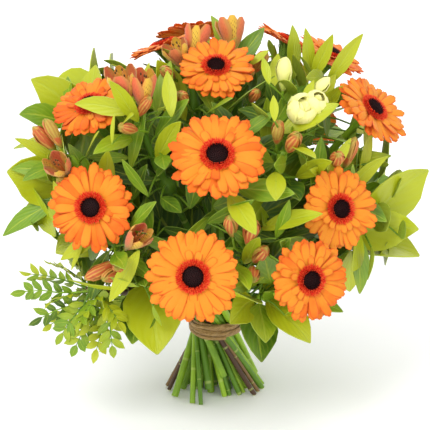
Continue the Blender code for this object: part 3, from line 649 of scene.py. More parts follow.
def read_sprig(node):
    """The ring middles and radii of a sprig's stem, and its limbs."""
    own = welded(node)
    limbs, used = [], set()
    for tip in own.verts:
        if len(tip.link_edges) != LIMB_SIDES:
            continue
        rings, seen, last = [], {tip}, [tip]
        while len(last := around(last, seen)) == LIMB_SIDES and len(rings) < max(FORMS):
            rings.append(last)
            seen |= set(last)
        if len(rings) in FORMS:
            used |= seen - set(rings[-1])
            corners = [places(ring) for ring in reversed(rings)]
            limbs.append(Limb(FORMS[len(rings)], corners, np.array(tip.co)))
    middles, radii = read_stem(own, used)
    own.free()
    return middles, radii, limbs


def read_stem(own, used=frozenset()):
    """The middle and radius of each ring of a stem from its foot up, passing over the used points."""
    left = sorted((v for v in own.verts if v not in used), key=lambda v: (v.co.z, v.index))
    ring, seen = left[:STEM_SIDES], set(used)
    middles, radii = [], []
    while ring:
        spots = places(ring)
        middles.append(spots.mean(axis=0))
        radii.append(np.linalg.norm(spots - middles[-1], axis=1).mean())
        seen |= set(ring)
        ring = around(ring, seen)
    radii[0] = radii[1]
    return np.array(middles), np.array(radii)


def read_bloom(node):
    """Middle of a bloom's underside, the way it faces and its radius."""
    own = welded(node)
    spots = places(own.verts)
    own.free()
    middle = spots.mean(axis=0)
    axis = np.linalg.eigh(np.cov((spots - middle).T))[1][:, 0]
    if (np.array(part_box(node.replace("bloom", "eye"))).mean(axis=0) - middle) @ axis < 0:
        axis = -axis
    height = (spots - middle) @ axis
    radius = np.linalg.norm(spots - middle - np.outer(height, axis), axis=1).max()
    return middle + axis * height.min(), axis, radius


def spoke(axis, angle):
    """The way straight out from an axis, at an angle round it."""
    first = beside(axis)
    return first * math.cos(angle) + np.cross(axis, first) * math.sin(angle)


# ---------------------------------------------------------------- pieces

BUNCH_MIDDLE = np.array((0.0, -0.005, 0.198))
BUNCH_REACH = np.array((0.160, 0.150, 0.128))
GOLDEN_TURN = 2.39996  # the turn that spreads florets and leaves evenly

# Rows of the flat patterns, (place along, half-width).
PETAL_ROWS = ((0.0, 0.30), (0.22, 0.56), (0.48, 0.84), (0.74, 1.0), (0.92, 0.86), (1.0, 0.48))
PETAL_RIBS = (-0.20, 0.05, -0.05, 0.05, -0.20)
FLORET_ROWS = ((0.0, 0.5), (0.5, 1.0), (1.0, 0.15))
BRACT_ROWS = ((0.0, 0.8), (0.35, 1.0), (0.75, 0.6), (1.0, 0.06))
LEAF_ROWS = (
    (0.0, 0.07), (0.06, 0.34), (0.17, 0.74), (0.33, 0.98), (0.50, 1.0), (0.67, 0.84), (0.82, 0.54),
    (0.93, 0.24), (1.0, 0.03))
BLADE_ROWS = (
    (0.0, 0.10), (0.08, 0.38), (0.20, 0.68), (0.36, 0.93), (0.53, 1.0), (0.69, 0.84), (0.84, 0.52),
    (0.94, 0.23), (1.0, 0.03))
LEAFLET_ROWS = ((0.0, 0.10), (0.20, 0.72), (0.45, 1.0), (0.72, 0.80), (1.0, 0.05))
TEPAL_ROWS = ((0.0, 0.24), (0.20, 0.42), (0.42, 0.74), (0.64, 1.0), (0.86, 0.84), (1.0, 0.40))
TEPAL_RIBS = (0.46, 0.12, 0.0, 0.12, 0.46)

# Rings of the round patterns, (place along, radius).
BUD_ROWS = (
    (0.0, 0.22), (0.08, 0.50), (0.20, 0.76), (0.38, 0.95), (0.56, 1.0), (0.73, 0.90), (0.87, 0.66),
    (0.95, 0.38), (1.0, 0.08))
BEAD_ROWS = ((0.0, 0.75), (0.45, 1.0), (0.85, 0.55), (1.0, 0.12))
DOME_ROWS = ((0.0, 1.0), (0.35, 0.98), (0.60, 0.88), (0.82, 0.66), (0.95, 0.36), (1.0, 0.05))
ANTHER_ROWS = ((0.0, 0.6), (0.5, 1.0), (1.0, 0.4))


def rod(rings, sides):
    """A plain round stem with this many rings after the first."""
    return round_pattern(sides, [(k / rings, 1.0) for k in range(rings + 1)])


@functools.cache
def green_stem():
    looks = bpy.context.scene.bunch_gerbera
    return stem_finish("green stem", looks.stem_light, looks.stem_dark, 0.10)


# Rows of petals: petals fewer than in the outer row, reach, height at the foot and further out, width
# against the outer row's, turn in petals, and the share of petals left out.
PETAL_WHORLS = (
    (0, 1.00, 0.0004, 0.0040, 1.00, 0.00, 0.00),
    (2, 0.92, 0.0016, 0.0058, 0.94, 0.50, 0.00),
    (8, 0.60, 0.0026, 0.0064, 0.74, 0.25, 0.45))


def heads(first_seed):
    """For each gerbera its name, its random draws, and the foot, the facing and the radius of its head."""
    for k, name in enumerate(GERBERAS):
        yield name, np.random.default_rng(first_seed + k), *read_bloom(name + "_bloom")


class BUNCH_OT_gerbera_heads(bpy.types.Operator):
    """Models the orange petals of each gerbera"""

    bl_idname = "bunch.gerbera_heads"
    bl_label = "Gerbera petals"

    def execute(self, context):
        looks = context.scene.bunch_gerbera
        finish = petal_finish(looks)
        petal = flat_pattern(4, PETAL_ROWS, PETAL_RIBS, 0.10, square_tip=0.045)
        for name, draw, foot, axis, radius in heads(100):
            piece = Piece(name + "_petals", finish)
            head_tone = draw.uniform(0.0, 0.45)
            start = radius * 0.16
            for fewer, reach, low, high, wide, offset, left_out in PETAL_WHORLS:
                count = looks.petals - fewer
                for j in range(count):
                    turn = math.tau * (j + offset + draw.uniform(-0.22, 0.22)) / count
                    long = radius * reach * draw.uniform(0.90, 1.03)
                    way = spoke(axis, turn)
                    lift, droop = draw.normal(0, 0.0009), draw.uniform(-0.0012, 0.0024)
                    if left_out and draw.random() < left_out:
                        continue
                    out = start + (long - start) * np.array((0.0, 0.35, 0.70, 1.0))
                    rise = (
                        low + 0.0012, low + (high - low) * 0.75 + lift * 0.3, high + lift,
                        high - droop + lift * 1.6)
                    knots = foot + np.outer(out, way) + np.outer(rise, axis)
                    line = Line(knots, unit(np.cross(way, axis)) + axis * draw.normal(0, 0.16))
                    half = radius * looks.petal_width * wide * draw.uniform(0.90, 1.10)
                    piece.add(petal, line.lay(petal, half), head_tone + 0.65 * draw.random())
            piece.build("gerbera_petals", name + "_bloom", angle=80)
        return {"FINISHED"}


HEAD_RADIUS = 0.0428  # radius of the head that the sizes of the ring and the disc are for
EYE_LIFT = 0.0056  # how far the disc's foot stands above the petals' underside
DISC_FLORETS = 105
RING_ROWS = 5


class BUNCH_OT_gerbera_eyes(bpy.types.Operator):
    """Models the dark disc and the red ring of florets of each gerbera"""

    bl_idname = "bunch.gerbera_eyes"
    bl_label = "Gerbera centres"

    def execute(self, context):
        looks = context.scene.bunch_gerbera
        dark = floret_finish("closed floret", looks.disc_colour, tint("4A0C0A"), 0.35)
        red = floret_finish("ring floret", looks.ring_colour, looks.ring_tip, 0.75)
        bead = round_pattern(5, BEAD_ROWS)
        floret = flat_pattern(2, FLORET_ROWS, (0.25, -0.1, 0.25), 0.3)
        dome = round_pattern(24, DOME_ROWS)
        for name, draw, foot, axis, radius in heads(200):
            grow = radius / HEAD_RADIUS
            foot = foot + axis * EYE_LIFT
            piece = Piece(name + "_centre", dark, red)
            inner, outer = looks.ring_in * grow, looks.ring_out * grow
            for low, high, wide, tone, finish in (
                    (-0.0022, 0.0008, outer * 0.95, 0.5, 1), (-0.0010, 0.0024, inner * 1.02, 0.2, 0)):
                line = Line([foot + axis * low, foot + axis * high])
                piece.add(dome, line.lay(dome, wide), tone, finish)
            for j in range(DISC_FLORETS):
                out = inner * math.sqrt((j + 0.5) / DISC_FLORETS)
                way = spoke(axis, j * GOLDEN_TURN)
                low = foot + way * out + axis * (0.0020 * (1 - (out / inner) ** 2))
                tall = 0.0018 + 0.0014 * (out / inner) + draw.uniform(-0.0002, 0.0002)
                line = Line([low - axis * 0.0004, low + (axis + way * 0.25 * out / inner) * tall])
                tone = draw.random() * (0.6 if out < inner * 0.7 else 1.0)
                piece.add(bead, line.lay(bead, inner * 0.078 * draw.uniform(0.9, 1.1)), tone)
            for row in range(RING_ROWS):
                out = inner * 0.98 + (outer - inner) * row * 0.19
                count = 34 + 5 * row
                for j in range(count):
                    way = spoke(axis, math.tau * (j + 0.5 * row + draw.uniform(-0.25, 0.25)) / count)
                    low = foot + way * out + axis * (0.0004 - 0.0003 * row)
                    lean = 0.35 + 0.36 * row + draw.uniform(-0.15, 0.15)
                    goal = unit(axis + way * lean) * (0.0034 + 0.0003 * row) * draw.uniform(0.85, 1.15)
                    knots = [low, low + goal * 0.55 + axis * 0.0004, low + goal]
                    line = Line(knots, unit(np.cross(way, axis)))
                    piece.add(floret, line.lay(floret, 0.00095 * grow), draw.random(), 1)
            piece.build("gerbera_eye", name + "_eye")
        return {"FINISHED"}


CALYX = 0.013  # how far below the head the stem starts to widen
STEM_RINGS = 44
BRACT_RINGS = 4
BRACT_LENGTH, BRACT_HALF_WIDTH = 0.0078, 0.0015


class BUNCH_OT_gerbera_stems(bpy.types.Operator):
    """Models the smooth stems of the gerberas and the green bracts under their heads"""

    bl_idname = "bunch.gerbera_stems"
    bl_label = "Gerbera stems"

    def execute(self, context):
        bract_finish = stem_finish("bract", tint("86AE45"), tint("4C7424"), 0.25)
        pipe = rod(STEM_RINGS, 12)
        bract = flat_pattern(2, BRACT_ROWS, (-0.25, 0.0, -0.25), 0.16)
        for name, draw, _, axis, _ in heads(300):
            own = welded(name + "_stem")
            middles, radii = read_stem(own)
            own.free()
            piece = Piece(name + "_stem_looks", green_stem(), bract_finish)
            stem = Line(np.vstack((middles[:-3], middles[-1:])))
            thick = float(np.median(radii[:-4]))
            below = stem.length * (1 - np.linspace(0, 1, STEM_RINGS + 1))
            flare = np.clip(1 - below / CALYX, 0, 1) ** 1.3
            wide = thick + (radii[-1] * 0.94 - thick) * flare
            piece.add(pipe, flat_foot(stem.lay(pipe, wide)), draw.random())
            for row in range(BRACT_RINGS):
                back = 0.0125 - 0.0036 * row
                out = thick + (radii[-1] - thick) * (1 - back / 0.014) ** 1.2
                count = 12 + 2 * row
                for j in range(count):
                    way = spoke(axis, math.tau * (j + 0.5 * row + draw.uniform(-0.1, 0.1)) / count)
                    low = middles[-1] - axis * back + way * (out * 0.96)
                    long = BRACT_LENGTH * draw.uniform(0.9, 1.1)
                    knots = [
                        low, low + axis * long * 0.5 + way * 0.0016,
                        low + axis * long * 0.92 + way * (0.0034 + 0.0008 * row)]
                    line = Line(knots, unit(np.cross(axis, way)))
                    piece.add(bract, line.lay(bract, BRACT_HALF_WIDTH), draw.random(), 1)
            piece.build("gerbera_stem", name + "_stem")
        return {"FINISHED"}


def light_on(limb, draw):
    """A leaf's tone, partly at random and partly painted shade and light: darker for leaves deep in the
    bunch, lighter for the outer ones.
    """
    far = np.linalg.norm((limb.middles[-1] - BUNCH_MIDDLE) / BUNCH_REACH)
    return min(max(0.85 * draw.random() + 0.9 * (far - 0.92), 0.0), 1.0)


def shown_side(limb):
    """The way across a leaf whose face is turned outwards and up, to the light."""
    way = unit(limb.middles[-1] - limb.middles[1])
    to_front = limb.middles[-3][1] < 0.03
    outward = unit(limb.middles[-3] * (0.5 if to_front else 0.9, 1.0, 0.0) - (0.0, 0.09 * to_front, 0.0))
    side = np.cross(way, outward + 0.55 * UP)
    return unit(side) if np.linalg.norm(side) > 0.3 else limb.sides[-1]


STEM, LEAF, BUD, OUTER, INNER, THREAD, ANTHER = range(7)  # the finishes of a flower sprig, in order


def lay_leaf(piece, limb, draw, droop=0.06, stretch=1.08):
    """A stalk and a blade on a limb's rings."""
    tone = light_on(limb, draw)
    patterns = sprig_patterns()
    stalk = patterns["stalk"]
    piece.add(stalk, Line(limb.middles[:2]).lay(stalk, (0.0012, 0.0011, 0.0009)), 0.6)
    knots, sides = limb.middles[1:], limb.sides[2:]
    shown = shown_side(limb)
    own = 0.4 if limb.sides[-2] @ shown >= 0 else 0.0
    sides = own * np.vstack((sides[:1], sides))[:len(knots)] + (1 - own) * shown
    start = knots[0] - (knots[1] - knots[0]) * 0.06
    line = Line(np.vstack((start, knots[1:])), sides)
    pattern = patterns["leaf" if limb.wide / line.length > 0.20 else "blade"]
    points = line.lay(pattern, limb.wide * stretch, bend=draw.uniform(-0.02, droop))
    piece.add(pattern, points, tone, LEAF)


TEPAL_UP = (0.27, 0.60, 0.86, 0.99)  # places up a tepal
CLOSED = (0.62, 0.98, 0.86, 0.26)  # how far it stands out at those places
HALF_OPEN = (0.46, 0.86, 1.06, 0.98)
CUPPED = (0.70, 1.02, 0.98, 0.52)
HEART = (0.60, 0.80, 0.66, 0.24)

# Whorls of tepals, each (count, reach, stand, half-width, turn, finish).
BUD_WHORLS = ((3, 0.97, CLOSED, 0.80, 0.0, BUD),)
OPEN_WHORLS = ((3, 1.0, HALF_OPEN, 0.62, 0.0, OUTER), (3, 0.97, HALF_OPEN, 0.44, 0.5, INNER))
CREAM_WHORLS = (
    (3, 1.0, CUPPED, 1.0, 0.0, OUTER), (3, 0.98, CUPPED, 0.92, 0.5, INNER),
    (3, 0.90, HEART, 0.75, 0.2, INNER))


def lay_stalk(piece, limb):
    stalk = sprig_patterns()["stalk"]
    piece.add(stalk, Line(limb.middles[:3]).lay(stalk, (0.0012, 0.0010, 0.0013)), 0.6)


def lay_whorls(piece, low, rim, wide, draw, whorls):
    """Whorls of tepals between the places `low` and `rim`."""
    way = unit(rim - low)
    tall = np.linalg.norm(rim - low)
    begin = draw.uniform(0, math.tau)
    tepal = sprig_patterns()["tepal"]
    for count, reach, stand, half, offset, finish in whorls:
        for j in range(count):
            out = spoke(way, begin + math.tau * (j + offset) / count + draw.uniform(-0.14, 0.14))
            side = unit(np.cross(out, way) + out * draw.uniform(-0.15, 0.15))
            loose = draw.uniform(0.90, 1.10)
            high = tall * reach * draw.uniform(0.93, 1.04)
            knots = [low] + [
                low + way * high * up + out * wide * far * (loose if up > 0.5 else 1.0)
                for up, far in zip(TEPAL_UP, stand)]
            half_wide = wide * half * draw.uniform(0.93, 1.07)
            piece.add(tepal, Line(knots, side).lay(tepal, half_wide), draw.random(), finish)


def lay_bud(piece, limb, draw, fat):
    """A closed bud: a grooved core with three tepals folded round it."""
    lay_stalk(piece, limb)
    core = sprig_patterns()["bud"]
    wide = limb.wide * fat * draw.uniform(0.95, 1.08)
    piece.add(core, Line(limb.middles[2:]).lay(core, wide * 0.92), draw.random(), BUD)
    lay_whorls(piece, limb.middles[2], limb.middles[-1], wide, draw, BUD_WHORLS)


def lay_open_flower(piece, limb, draw):
    """A half-open alstroemeria with its stamens."""
    lay_stalk(piece, limb)
    low, rim, wide = limb.middles[2], limb.middles[-2], limb.wide
    way = unit(rim - low)
    tall = np.linalg.norm(rim - low)
    lay_whorls(piece, low, rim, wide, draw, OPEN_WHORLS)
    thread, anther = sprig_patterns()["stalk"], sprig_patterns()["anther"]
    for j in range(5):
        out = spoke(way, 1.3 * j)
        start = low + way * tall * 0.25
        end = low + way * tall * draw.uniform(0.72, 0.92) + out * wide * draw.uniform(0.15, 0.4)
        line = Line([start, (start + end) / 2 + out * wide * 0.05, end])
        piece.add(thread, line.lay(thread, 0.0004), 0.3, THREAD)
        piece.add(anther, Line([end, end + way * 0.0026]).lay(anther, 0.0008), 0.2, ANTHER)


def lay_cream_flower(piece, limb, draw):
    """A cupped cream flower round a closed core."""
    lay_stalk(piece, limb)
    wide = limb.wide * 1.22
    lay_whorls(piece, limb.middles[2], limb.middles[-2], wide, draw, CREAM_WHORLS)
    core = sprig_patterns()["bud"]
    piece.add(core, Line(limb.middles[2:-1]).lay(core, wide * 0.6), 0.5, INNER)


SPRIG_RINGS = 70
COMPANION_TURN = 0.19  # how far round the bunch the second stem stands from each sprig's own
COMPANION_WIDTH = 0.78  # its radius against the sprig's own
COMPANION_TOP = 0.118  # how high it goes


@functools.cache
def sprig_patterns():
    """The patterns that the sprigs share."""
    looks = bpy.context.scene.bunch_leaf
    fold = looks.fold
    ribs = (fold, fold * 0.42, 0.0, fold * 0.42, fold)
    return {
        "leaf": flat_pattern(4, LEAF_ROWS, ribs, looks.thick),
        "blade": flat_pattern(4, BLADE_ROWS, ribs, looks.thick * 1.6),
        "leaflet": flat_pattern(2, LEAFLET_ROWS, (fold, 0.0, fold), 0.12),
        "stalk": rod(4, 6),
        "stem": rod(SPRIG_RINGS, 8),
        "bud": round_pattern(12, BUD_ROWS, 3, 0.22, 0.8),
        "tepal": flat_pattern(4, TEPAL_ROWS, TEPAL_RIBS, 0.06),
        "anther": round_pattern(5, ANTHER_ROWS),
    }


@functools.cache
def sprig_finishes():
    """The finishes that the sprigs share."""
    leaf, flower = bpy.context.scene.bunch_leaf, bpy.context.scene.bunch_flower
    return {
        "stem": green_stem(),
        "twig": stem_finish("brown twig", tint("8A6A3E"), tint("4E3420"), 0.4),
        "soft": leaf_finish("alstroemeria leaf", leaf, 5, 0.38, 0.30),
        "salal": leaf_finish("salal leaf", leaf, 7, 0.30, 0.40),
        "small": leaf_finish("pistacia leaflet", leaf, 6, 0.36, 0.22),
        "ruscus": leaf_finish("ruscus leaf", leaf, 8, 0.34, 0.25),
        "bud": bud_finish(flower),
        "outer": tepal_finish("outer tepal", flower.tepal, flower.bud_green, flower.streak, 0.25),
        "inner": tepal_finish("inner tepal", tint("D8B238"), flower.tepal, flower.streak, 0.95),
        "cream": tepal_finish("cream petal", flower.cream, flower.cream_base, flower.cream, 0.0),
        "thread": floret_finish("stamen", tint("D98A4A"), tint("E9B070"), 0.5),
        "anther": floret_finish("anther", tint("5A4426"), tint("A88A4A"), 0.6),
    }


def flat_foot(points):
    """A stem's points with its foot cut level on the floor."""
    points[:, 2] = np.maximum(points[:, 2], 0.0)
    return points


def add_stem(piece, middles, radii, tone):
    """A sprig's stem with its swollen nodes and growing tip, and the thinner stem beside it."""
    pipe = sprig_patterns()["stem"]
    stem = Line(middles)
    wide = np.interp(np.linspace(0, 1, SPRIG_RINGS + 1), stem.at[::Line.STEPS], radii)
    wide[-1] = 0.0003
    piece.add(pipe, flat_foot(stem.lay(pipe, wide)), tone, STEM)
    cosine, sine = math.cos(COMPANION_TURN), math.sin(COMPANION_TURN)
    turned = np.array(((cosine, sine, 0.0), (-sine, cosine, 0.0), (0.0, 0.0, 1.0)))
    companion = Line((stem.line[stem.line[:, 2] < COMPANION_TOP] @ turned)[::2])
    piece.add(pipe, flat_foot(companion.lay(pipe, radii[1] * COMPANION_WIDTH)), 1 - tone, STEM)


def start_sprig(node, first_seed, finishes):
    """The piece of one sprig with its stem in it, the sprig's limbs and its random draws."""
    draw = np.random.default_rng(first_seed + NODES.index(node))
    middles, radii, limbs = read_sprig(node)
    piece = Piece(node + "_looks", *[sprig_finishes()[name] for name in finishes])
    add_stem(piece, middles, radii, draw.random())
    return piece, limbs, draw


def of_kind(*kinds):
    """The kind and the name of each sprig of these kinds."""
    return [(node.split("_")[0], node) for node in NODES if node.startswith(kinds)]


def clear_of_heads(points, blooms):
    """Whether these points keep out of every gerbera head and the space in front of it."""
    for foot, axis, radius in blooms:
        away = points - foot
        height = away @ axis
        out = np.linalg.norm(away - np.outer(height, axis), axis=1)
        room = radius * 1.06 + 0.15 * np.maximum(height, 0)
        if ((height > -0.003) & (height < 0.07) & (out < room)).any():
            return False
    return True


def clear_of_tie(points):
    """Whether these points leave the tie open to view, from the front and from close by on every side."""
    out = np.hypot(points[:, 0], points[:, 1])
    rise = points[:, 2] - TWINE_HIGH.z - 0.010 - 0.40 * out
    before = (np.abs(points[:, 0]) < 0.042) & (points[:, 1] < 0)
    return not ((rise < 0) & (before | (out < 0.09))).any()


# Shells of fill leaves: share of the bunch's reach, leaves tried, tone, leaf length against the usual. The
# low tones of the inner shells are painted shade: leaves deep in the bunch are made darker.
SHELLS = ((0.66, 110, 0.20, 1.0), (0.84, 150, 0.45, 1.0), (0.98, 150, 1.0, 1.0), (1.06, 150, 0.8, 0.55))
FILL_TRIES = 5
FILL_MARGIN = 0.003  # how far the fill leaves keep inside the frame's box
FILL_STALK = 0.055  # the longest way from a leaf to its sprig


def fill_leaf(spot, face, short, draw, sprigs, blooms):
    """One leaf at a spot, as (sprig, place on its stem, base, spot, tip, side), or None if not clear."""
    swing = draw.normal(size=3)
    swing = unit(swing - (swing @ face) * face)
    way = unit(0.45 * face + 0.85 * swing + 0.45 * UP)
    long = draw.uniform(0.036, 0.058) * short
    tip, base = spot + way * long * 0.55, spot - way * long * 0.45
    near = {node: np.linalg.norm(line - base, axis=1).min() for node, line in sprigs.items()}
    node = min(near, key=near.get)
    side = unit(np.cross(way, face + 0.3 * draw.normal(size=3)))
    probe = np.array([
        base, base + side * 0.008, spot, spot + side * 0.011, spot - side * 0.011, tip, (spot + tip) / 2])
    low, high = np.array(CAD_BOX)
    inside = (probe > low + FILL_MARGIN).all() and (probe < high - FILL_MARGIN).all()
    if not (inside and near[node] < FILL_STALK and clear_of_tie(probe) and clear_of_heads(probe, blooms)):
        return None
    line = sprigs[node]
    start = line[np.argmin(np.linalg.norm(line - base + UP * 0.012, axis=1))]
    if not clear_of_heads(np.array([(start + base) / 2]), blooms):
        return None
    return node, start, base, spot, tip, side


@functools.cache
def plan_fill():
    """Leaves that close the gaps between the heads: for each sprig, the places, side and tone of each."""
    blooms = [read_bloom(name + "_bloom") for name in GERBERAS]
    sprigs = {}
    for node in NODES:
        if not node.startswith(("gerbera", "twine")):
            line = Line(read_sprig(node)[0]).line
            sprigs[node] = line[line[:, 2] > 0.10]
    draw = np.random.default_rng(31)
    plan = {node: [] for node in sprigs}
    for scale, count, tone, short in SHELLS:
        for k in range(count):
            rise = 1 - 1.82 * (k + 0.5) / count
            turn = GOLDEN_TURN * k + 7 * scale
            level = math.sqrt(1 - rise * rise)
            out = np.array((math.cos(turn) * level, math.sin(turn) * level, rise))
            spot = BUNCH_MIDDLE + out * BUNCH_REACH * scale * draw.uniform(0.94, 1.06)
            for _ in range(FILL_TRIES):
                found = fill_leaf(spot, unit(out / BUNCH_REACH), short, draw, sprigs, blooms)
                if found:
                    plan[found[0]].append((*found[1:], tone * draw.uniform(0.6, 1.0)))
                    break
    return plan


def add_fill(piece, node, draw, slimmest, widest):
    """A sprig's fill leaves, with their half-widths as shares of their length."""
    patterns = sprig_patterns()
    stalk, pattern = patterns["stalk"], patterns["leaf" if slimmest > 0.2 else "blade"]
    for start, base, spot, tip, side, tone in plan_fill()[node]:
        line = Line([start, (start + base) / 2 + UP * 0.003, base])
        piece.add(stalk, line.lay(stalk, (0.0011, 0.0009, 0.0008)), 0.5, STEM)
        line = Line([base, spot, tip], side)
        wide = line.length * draw.uniform(slimmest, widest)
        piece.add(pattern, line.lay(pattern, wide, bend=draw.uniform(-0.02, 0.08)), tone, LEAF)


class BUNCH_OT_flower_sprigs(bpy.types.Operator):
    """Models the alstroemeria and the cream flowers with their leaves and stems"""

    bl_idname = "bunch.flower_sprigs"
    bl_label = "Alstroemeria and cream flowers"

    def execute(self, context):
        for kind, node in of_kind("alstroemeria", "cream"):
            warm = kind == "alstroemeria"
            tepals = ("bud", "outer", "inner") if warm else ("cream",) * 3
            piece, limbs, draw = start_sprig(node, 400, ("stem", "soft", *tepals, "thread", "anther"))
            for limb in limbs:
                if limb.form == "bud":
                    lay_bud(piece, limb, draw, 1.12 if warm else 1.25)
                elif limb.form == "flower":
                    (lay_open_flower if warm else lay_cream_flower)(piece, limb, draw)
                else:
                    lay_leaf(piece, limb, draw)
            add_fill(piece, node, draw, 0.13, 0.19)
            piece.build("alstroemeria" if warm else "cream_flower", node, angle=65)
        return {"FINISHED"}


class BUNCH_OT_leaf_sprigs(bpy.types.Operator):
    """Models the salal and ruscus leaves with their stems"""

    bl_idname = "bunch.leaf_sprigs"
    bl_label = "Salal and ruscus"

    def execute(self, context):
        for kind, node in of_kind("salal", "ruscus"):
            stretch, slimmest, widest = (1.25, 0.26, 0.33) if kind == "salal" else (1.1, 0.14, 0.19)
            piece, limbs, draw = start_sprig(node, 500, ("stem", kind))
            for limb in limbs:
                lay_leaf(piece, limb, draw, 0.09, stretch)
            add_fill(piece, node, draw, slimmest, widest)
            piece.build(kind + "_leaf", node, angle=65)
        return {"FINISHED"}


LEAFLET_PLACES = (0.26, 0.42, 0.58, 0.74, 0.88, 1.0)
LEAFLET_LENGTH, LEAFLET_HALF_WIDTH = 0.0135, 0.0031


class BUNCH_OT_pistacia(bpy.types.Operator):
    """Models the feathered pistacia leaves and their brown twigs"""

    bl_idname = "bunch.pistacia"
    bl_label = "Pistacia"

    def execute(self, context):
        stalk, leaflet = sprig_patterns()["stalk"], sprig_patterns()["leaflet"]
        for _, node in of_kind("pistacia"):
            piece, limbs, draw = start_sprig(node, 600, ("twig", "small", "stem"))
            for limb in limbs:
                rachis = Line(limb.middles, limb.sides)
                piece.add(stalk, rachis.lay(stalk, (0.0009, 0.0007, 0.0004)), draw.random(), 2)
                tone = draw.random()
                for at in LEAFLET_PLACES:
                    spot = rachis.read(rachis.line, [at])[0]
                    way, side = [unit(rachis.read(what, [at])[0]) for what in (rachis.way, rachis.side)]
                    face = unit(np.cross(side, way))
                    for hand in ((-1, 1) if at < 0.95 else (0,)):
                        forward = 0.75 if hand else 1.0
                        lean = unit(way * forward + side * hand * 0.85 + face * draw.normal(0, 0.14))
                        long = LEAFLET_LENGTH * draw.uniform(0.85, 1.15) * (1.12 - 0.4 * abs(at - 0.55))
                        far = spot + lean * long
                        knots = [spot, (spot + far) / 2 + face * 0.0007, far - face * 0.0008]
                        line = Line(knots, unit(np.cross(lean, face)))
                        points = line.lay(leaflet, LEAFLET_HALF_WIDTH * draw.uniform(0.9, 1.15))
                        piece.add(leaflet, points, tone * 0.7 + 0.3 * draw.random(), LEAF)
            piece.build("pistacia_leaf", node, angle=65)
        return {"FINISHED"}


STEPS_A_TURN = 22
STRAND_THICK = 0.0007


def tie_reach(ways, levels, middle, half):
    """How far the tie's solid reaches at each level, each way round, with its flats rounded out."""
    own = welded("twine")
    spots = places(own.verts)
    own.free()
    reach = []
    for rise in levels:
        near = spots[np.abs(spots[:, 2] - middle - rise) < half * 0.35][:, :2]
        hold = [(near @ (math.cos(way), math.sin(way))).max() for way in ways]
        reach.append([
            min(far / math.cos(way - other) for other, far in zip(ways, hold) if math.cos(way - other) > 0.3)
            for way in ways])
    return np.array(reach)


class BUNCH_OT_tie(bpy.types.Operator):
    """Winds the flat straw strands round the waist of the bunch"""

    bl_idname = "bunch.tie"
    bl_label = "Tie"

    def execute(self, context):
        looks = context.scene.bunch_tie
        middle = (TWINE_LOW.z + TWINE_HIGH.z) / 2
        half = (TWINE_HIGH.z - TWINE_LOW.z) / 2
        ways, levels = np.linspace(0, math.tau, 73), np.linspace(-half, half, 5)
        reach = tie_reach(ways, levels, middle, half)
        draw = np.random.default_rng(700)
        piece = Piece("twine_wraps", straw_finish(looks))
        wide = looks.strand / 2
        layers = (  # turns, first and last level, how far out, first turn, sway
            (looks.turns, -half + wide, half - wide, -0.0015, 0.2, 0.0006),
            (2.2, half * 0.55, -half * 0.70, -0.0002, 3.9, 0.0009),
            (1.6, -half * 0.50, half * 0.75, 0.0003, 1.3, 0.0012))
        for turns, low, high, out, begin, sway in layers:
            count = int(turns * STEPS_A_TURN)
            phase = draw.uniform(0, math.tau)
            knots = []
            for along in np.arange(count + 1) / count:
                swing = math.sin(2.7 * along * math.tau * turns / 2 + phase)
                rise = low + (high - low) * along + sway * swing
                rise = min(max(rise, -half + wide * 0.8), half - wide * 0.8)
                turn = begin + along * turns * math.tau
                row = [np.interp(turn % math.tau, ways, level) for level in reach]
                far = np.interp(rise, levels, row) + out
                knots.append((math.cos(turn) * far, math.sin(turn) * far, middle + rise))
            strand = rod(2 * count, 8)
            strand.map = strand.map * (1.0, turns)
            piece.add(strand, Line(knots, UP).lay(strand, wide, STRAND_THICK), draw.random())
        piece.build("twine", "twine", angle=60)
        return {"FINISHED"}


LAMPS = (  # name, place, size, power
    ("key", (-0.7, -1.2, 1.5), 0.8, 17.0), ("fill", (1.3, -0.8, 0.9), 0.9, 3.0),
    ("back", (0.2, 1.4, 1.2), 1.0, 6.0))


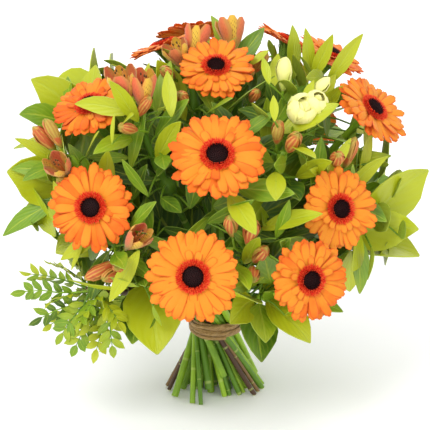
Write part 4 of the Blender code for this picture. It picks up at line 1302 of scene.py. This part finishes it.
class BUNCH_OT_stage(bpy.types.Operator):
    """Sets the pale floor, the soft lights and the camera"""

    bl_idname = "bunch.stage"
    bl_label = "Stage"

    def execute(self, context):
        looks = context.scene.bunch_stage
        bpy.ops.object.select_all(action="DESELECT")
        bpy.ops.mesh.primitive_plane_add(size=12, location=(0, 0, -0.0005))
        floor = context.object
        floor.name = "floor"
        finish = Finish("pale floor", Specular_IOR_Level=0.1)
        cloud = finish.noise(finish.place(), 3.0)
        shade = finish.coats(looks.floor, (cloud * 0.04, tint("F4F4F2")))
        floor.data.materials.append(finish.done(shade, 0.9))

        world = bpy.data.worlds.new("soft room")
        world.use_nodes = True
        sky = world.node_tree.nodes["Background"].inputs
        sky["Color"].default_value = (1, 1, 1, 1)
        sky["Strength"].default_value = 1.0
        context.scene.world = world
        for name, place, wide, power in LAMPS:
            light = bpy.data.lights.new(name, "AREA")
            light.energy, light.size = power, wide
            lamp = bpy.data.objects.new(name, light)
            lamp.location = place
            lamp.rotation_euler = (Vector((0, 0, 0.2)) - Vector(place)).to_track_quat("-Z", "Y").to_euler()
            context.scene.collection.objects.link(lamp)

        camera = bpy.data.objects.new("camera", bpy.data.cameras.new("camera"))
        camera.data.sensor_width, camera.data.lens = 36.0, looks.lens
        target = Vector((0, 0, 0.172))
        back = Vector((0, -math.cos(looks.elevation), math.sin(looks.elevation)))
        camera.location = target + back * looks.distance
        camera.rotation_euler = (-back).to_track_quat("-Z", "Y").to_euler()
        context.scene.collection.objects.link(camera)
        context.scene.camera = camera
        context.scene.view_settings.view_transform = "Standard"
        return {"FINISHED"}


PIECES = (
    BUNCH_OT_gerbera_heads, BUNCH_OT_gerbera_eyes, BUNCH_OT_gerbera_stems, BUNCH_OT_flower_sprigs,
    BUNCH_OT_leaf_sprigs, BUNCH_OT_pistacia, BUNCH_OT_tie, BUNCH_OT_stage)
SETTINGS = (
    ("bunch_gerbera", BunchGerberaSettings), ("bunch_leaf", BunchLeafSettings),
    ("bunch_flower", BunchFlowerSettings), ("bunch_tie", BunchTieSettings),
    ("bunch_stage", BunchStageSettings))


class BUNCH_PT_panel(bpy.types.Panel):
    """Sizes, colours and pieces of the bunch"""

    bl_idname = "BUNCH_PT_panel"
    bl_label = "Gerbera bunch"
    bl_space_type = "VIEW_3D"
    bl_region_type = "UI"
    bl_category = "Bunch"

    def draw(self, context):
        for operator in PIECES:
            self.layout.operator(operator.bl_idname)
        for name, group in SETTINGS:
            box = self.layout.box()
            for setting in group.__annotations__:
                box.prop(getattr(context.scene, name), setting)


def register():
    for name, group in SETTINGS:
        bpy.utils.register_class(group)
        setattr(bpy.types.Scene, name, bpy.props.PointerProperty(type=group))
    for operator in PIECES:
        bpy.utils.register_class(operator)
    bpy.utils.register_class(BUNCH_PT_panel)


def unregister():
    bpy.utils.unregister_class(BUNCH_PT_panel)
    for operator in reversed(PIECES):
        bpy.utils.unregister_class(operator)
    for name, group in reversed(SETTINGS):
        delattr(bpy.types.Scene, name)
        bpy.utils.unregister_class(group)


def main():
    register()
    for operator in PIECES:
        group, action = operator.bl_idname.split(".")
        getattr(getattr(bpy.ops, group), action)()


if __name__ == "__main__":
    main()
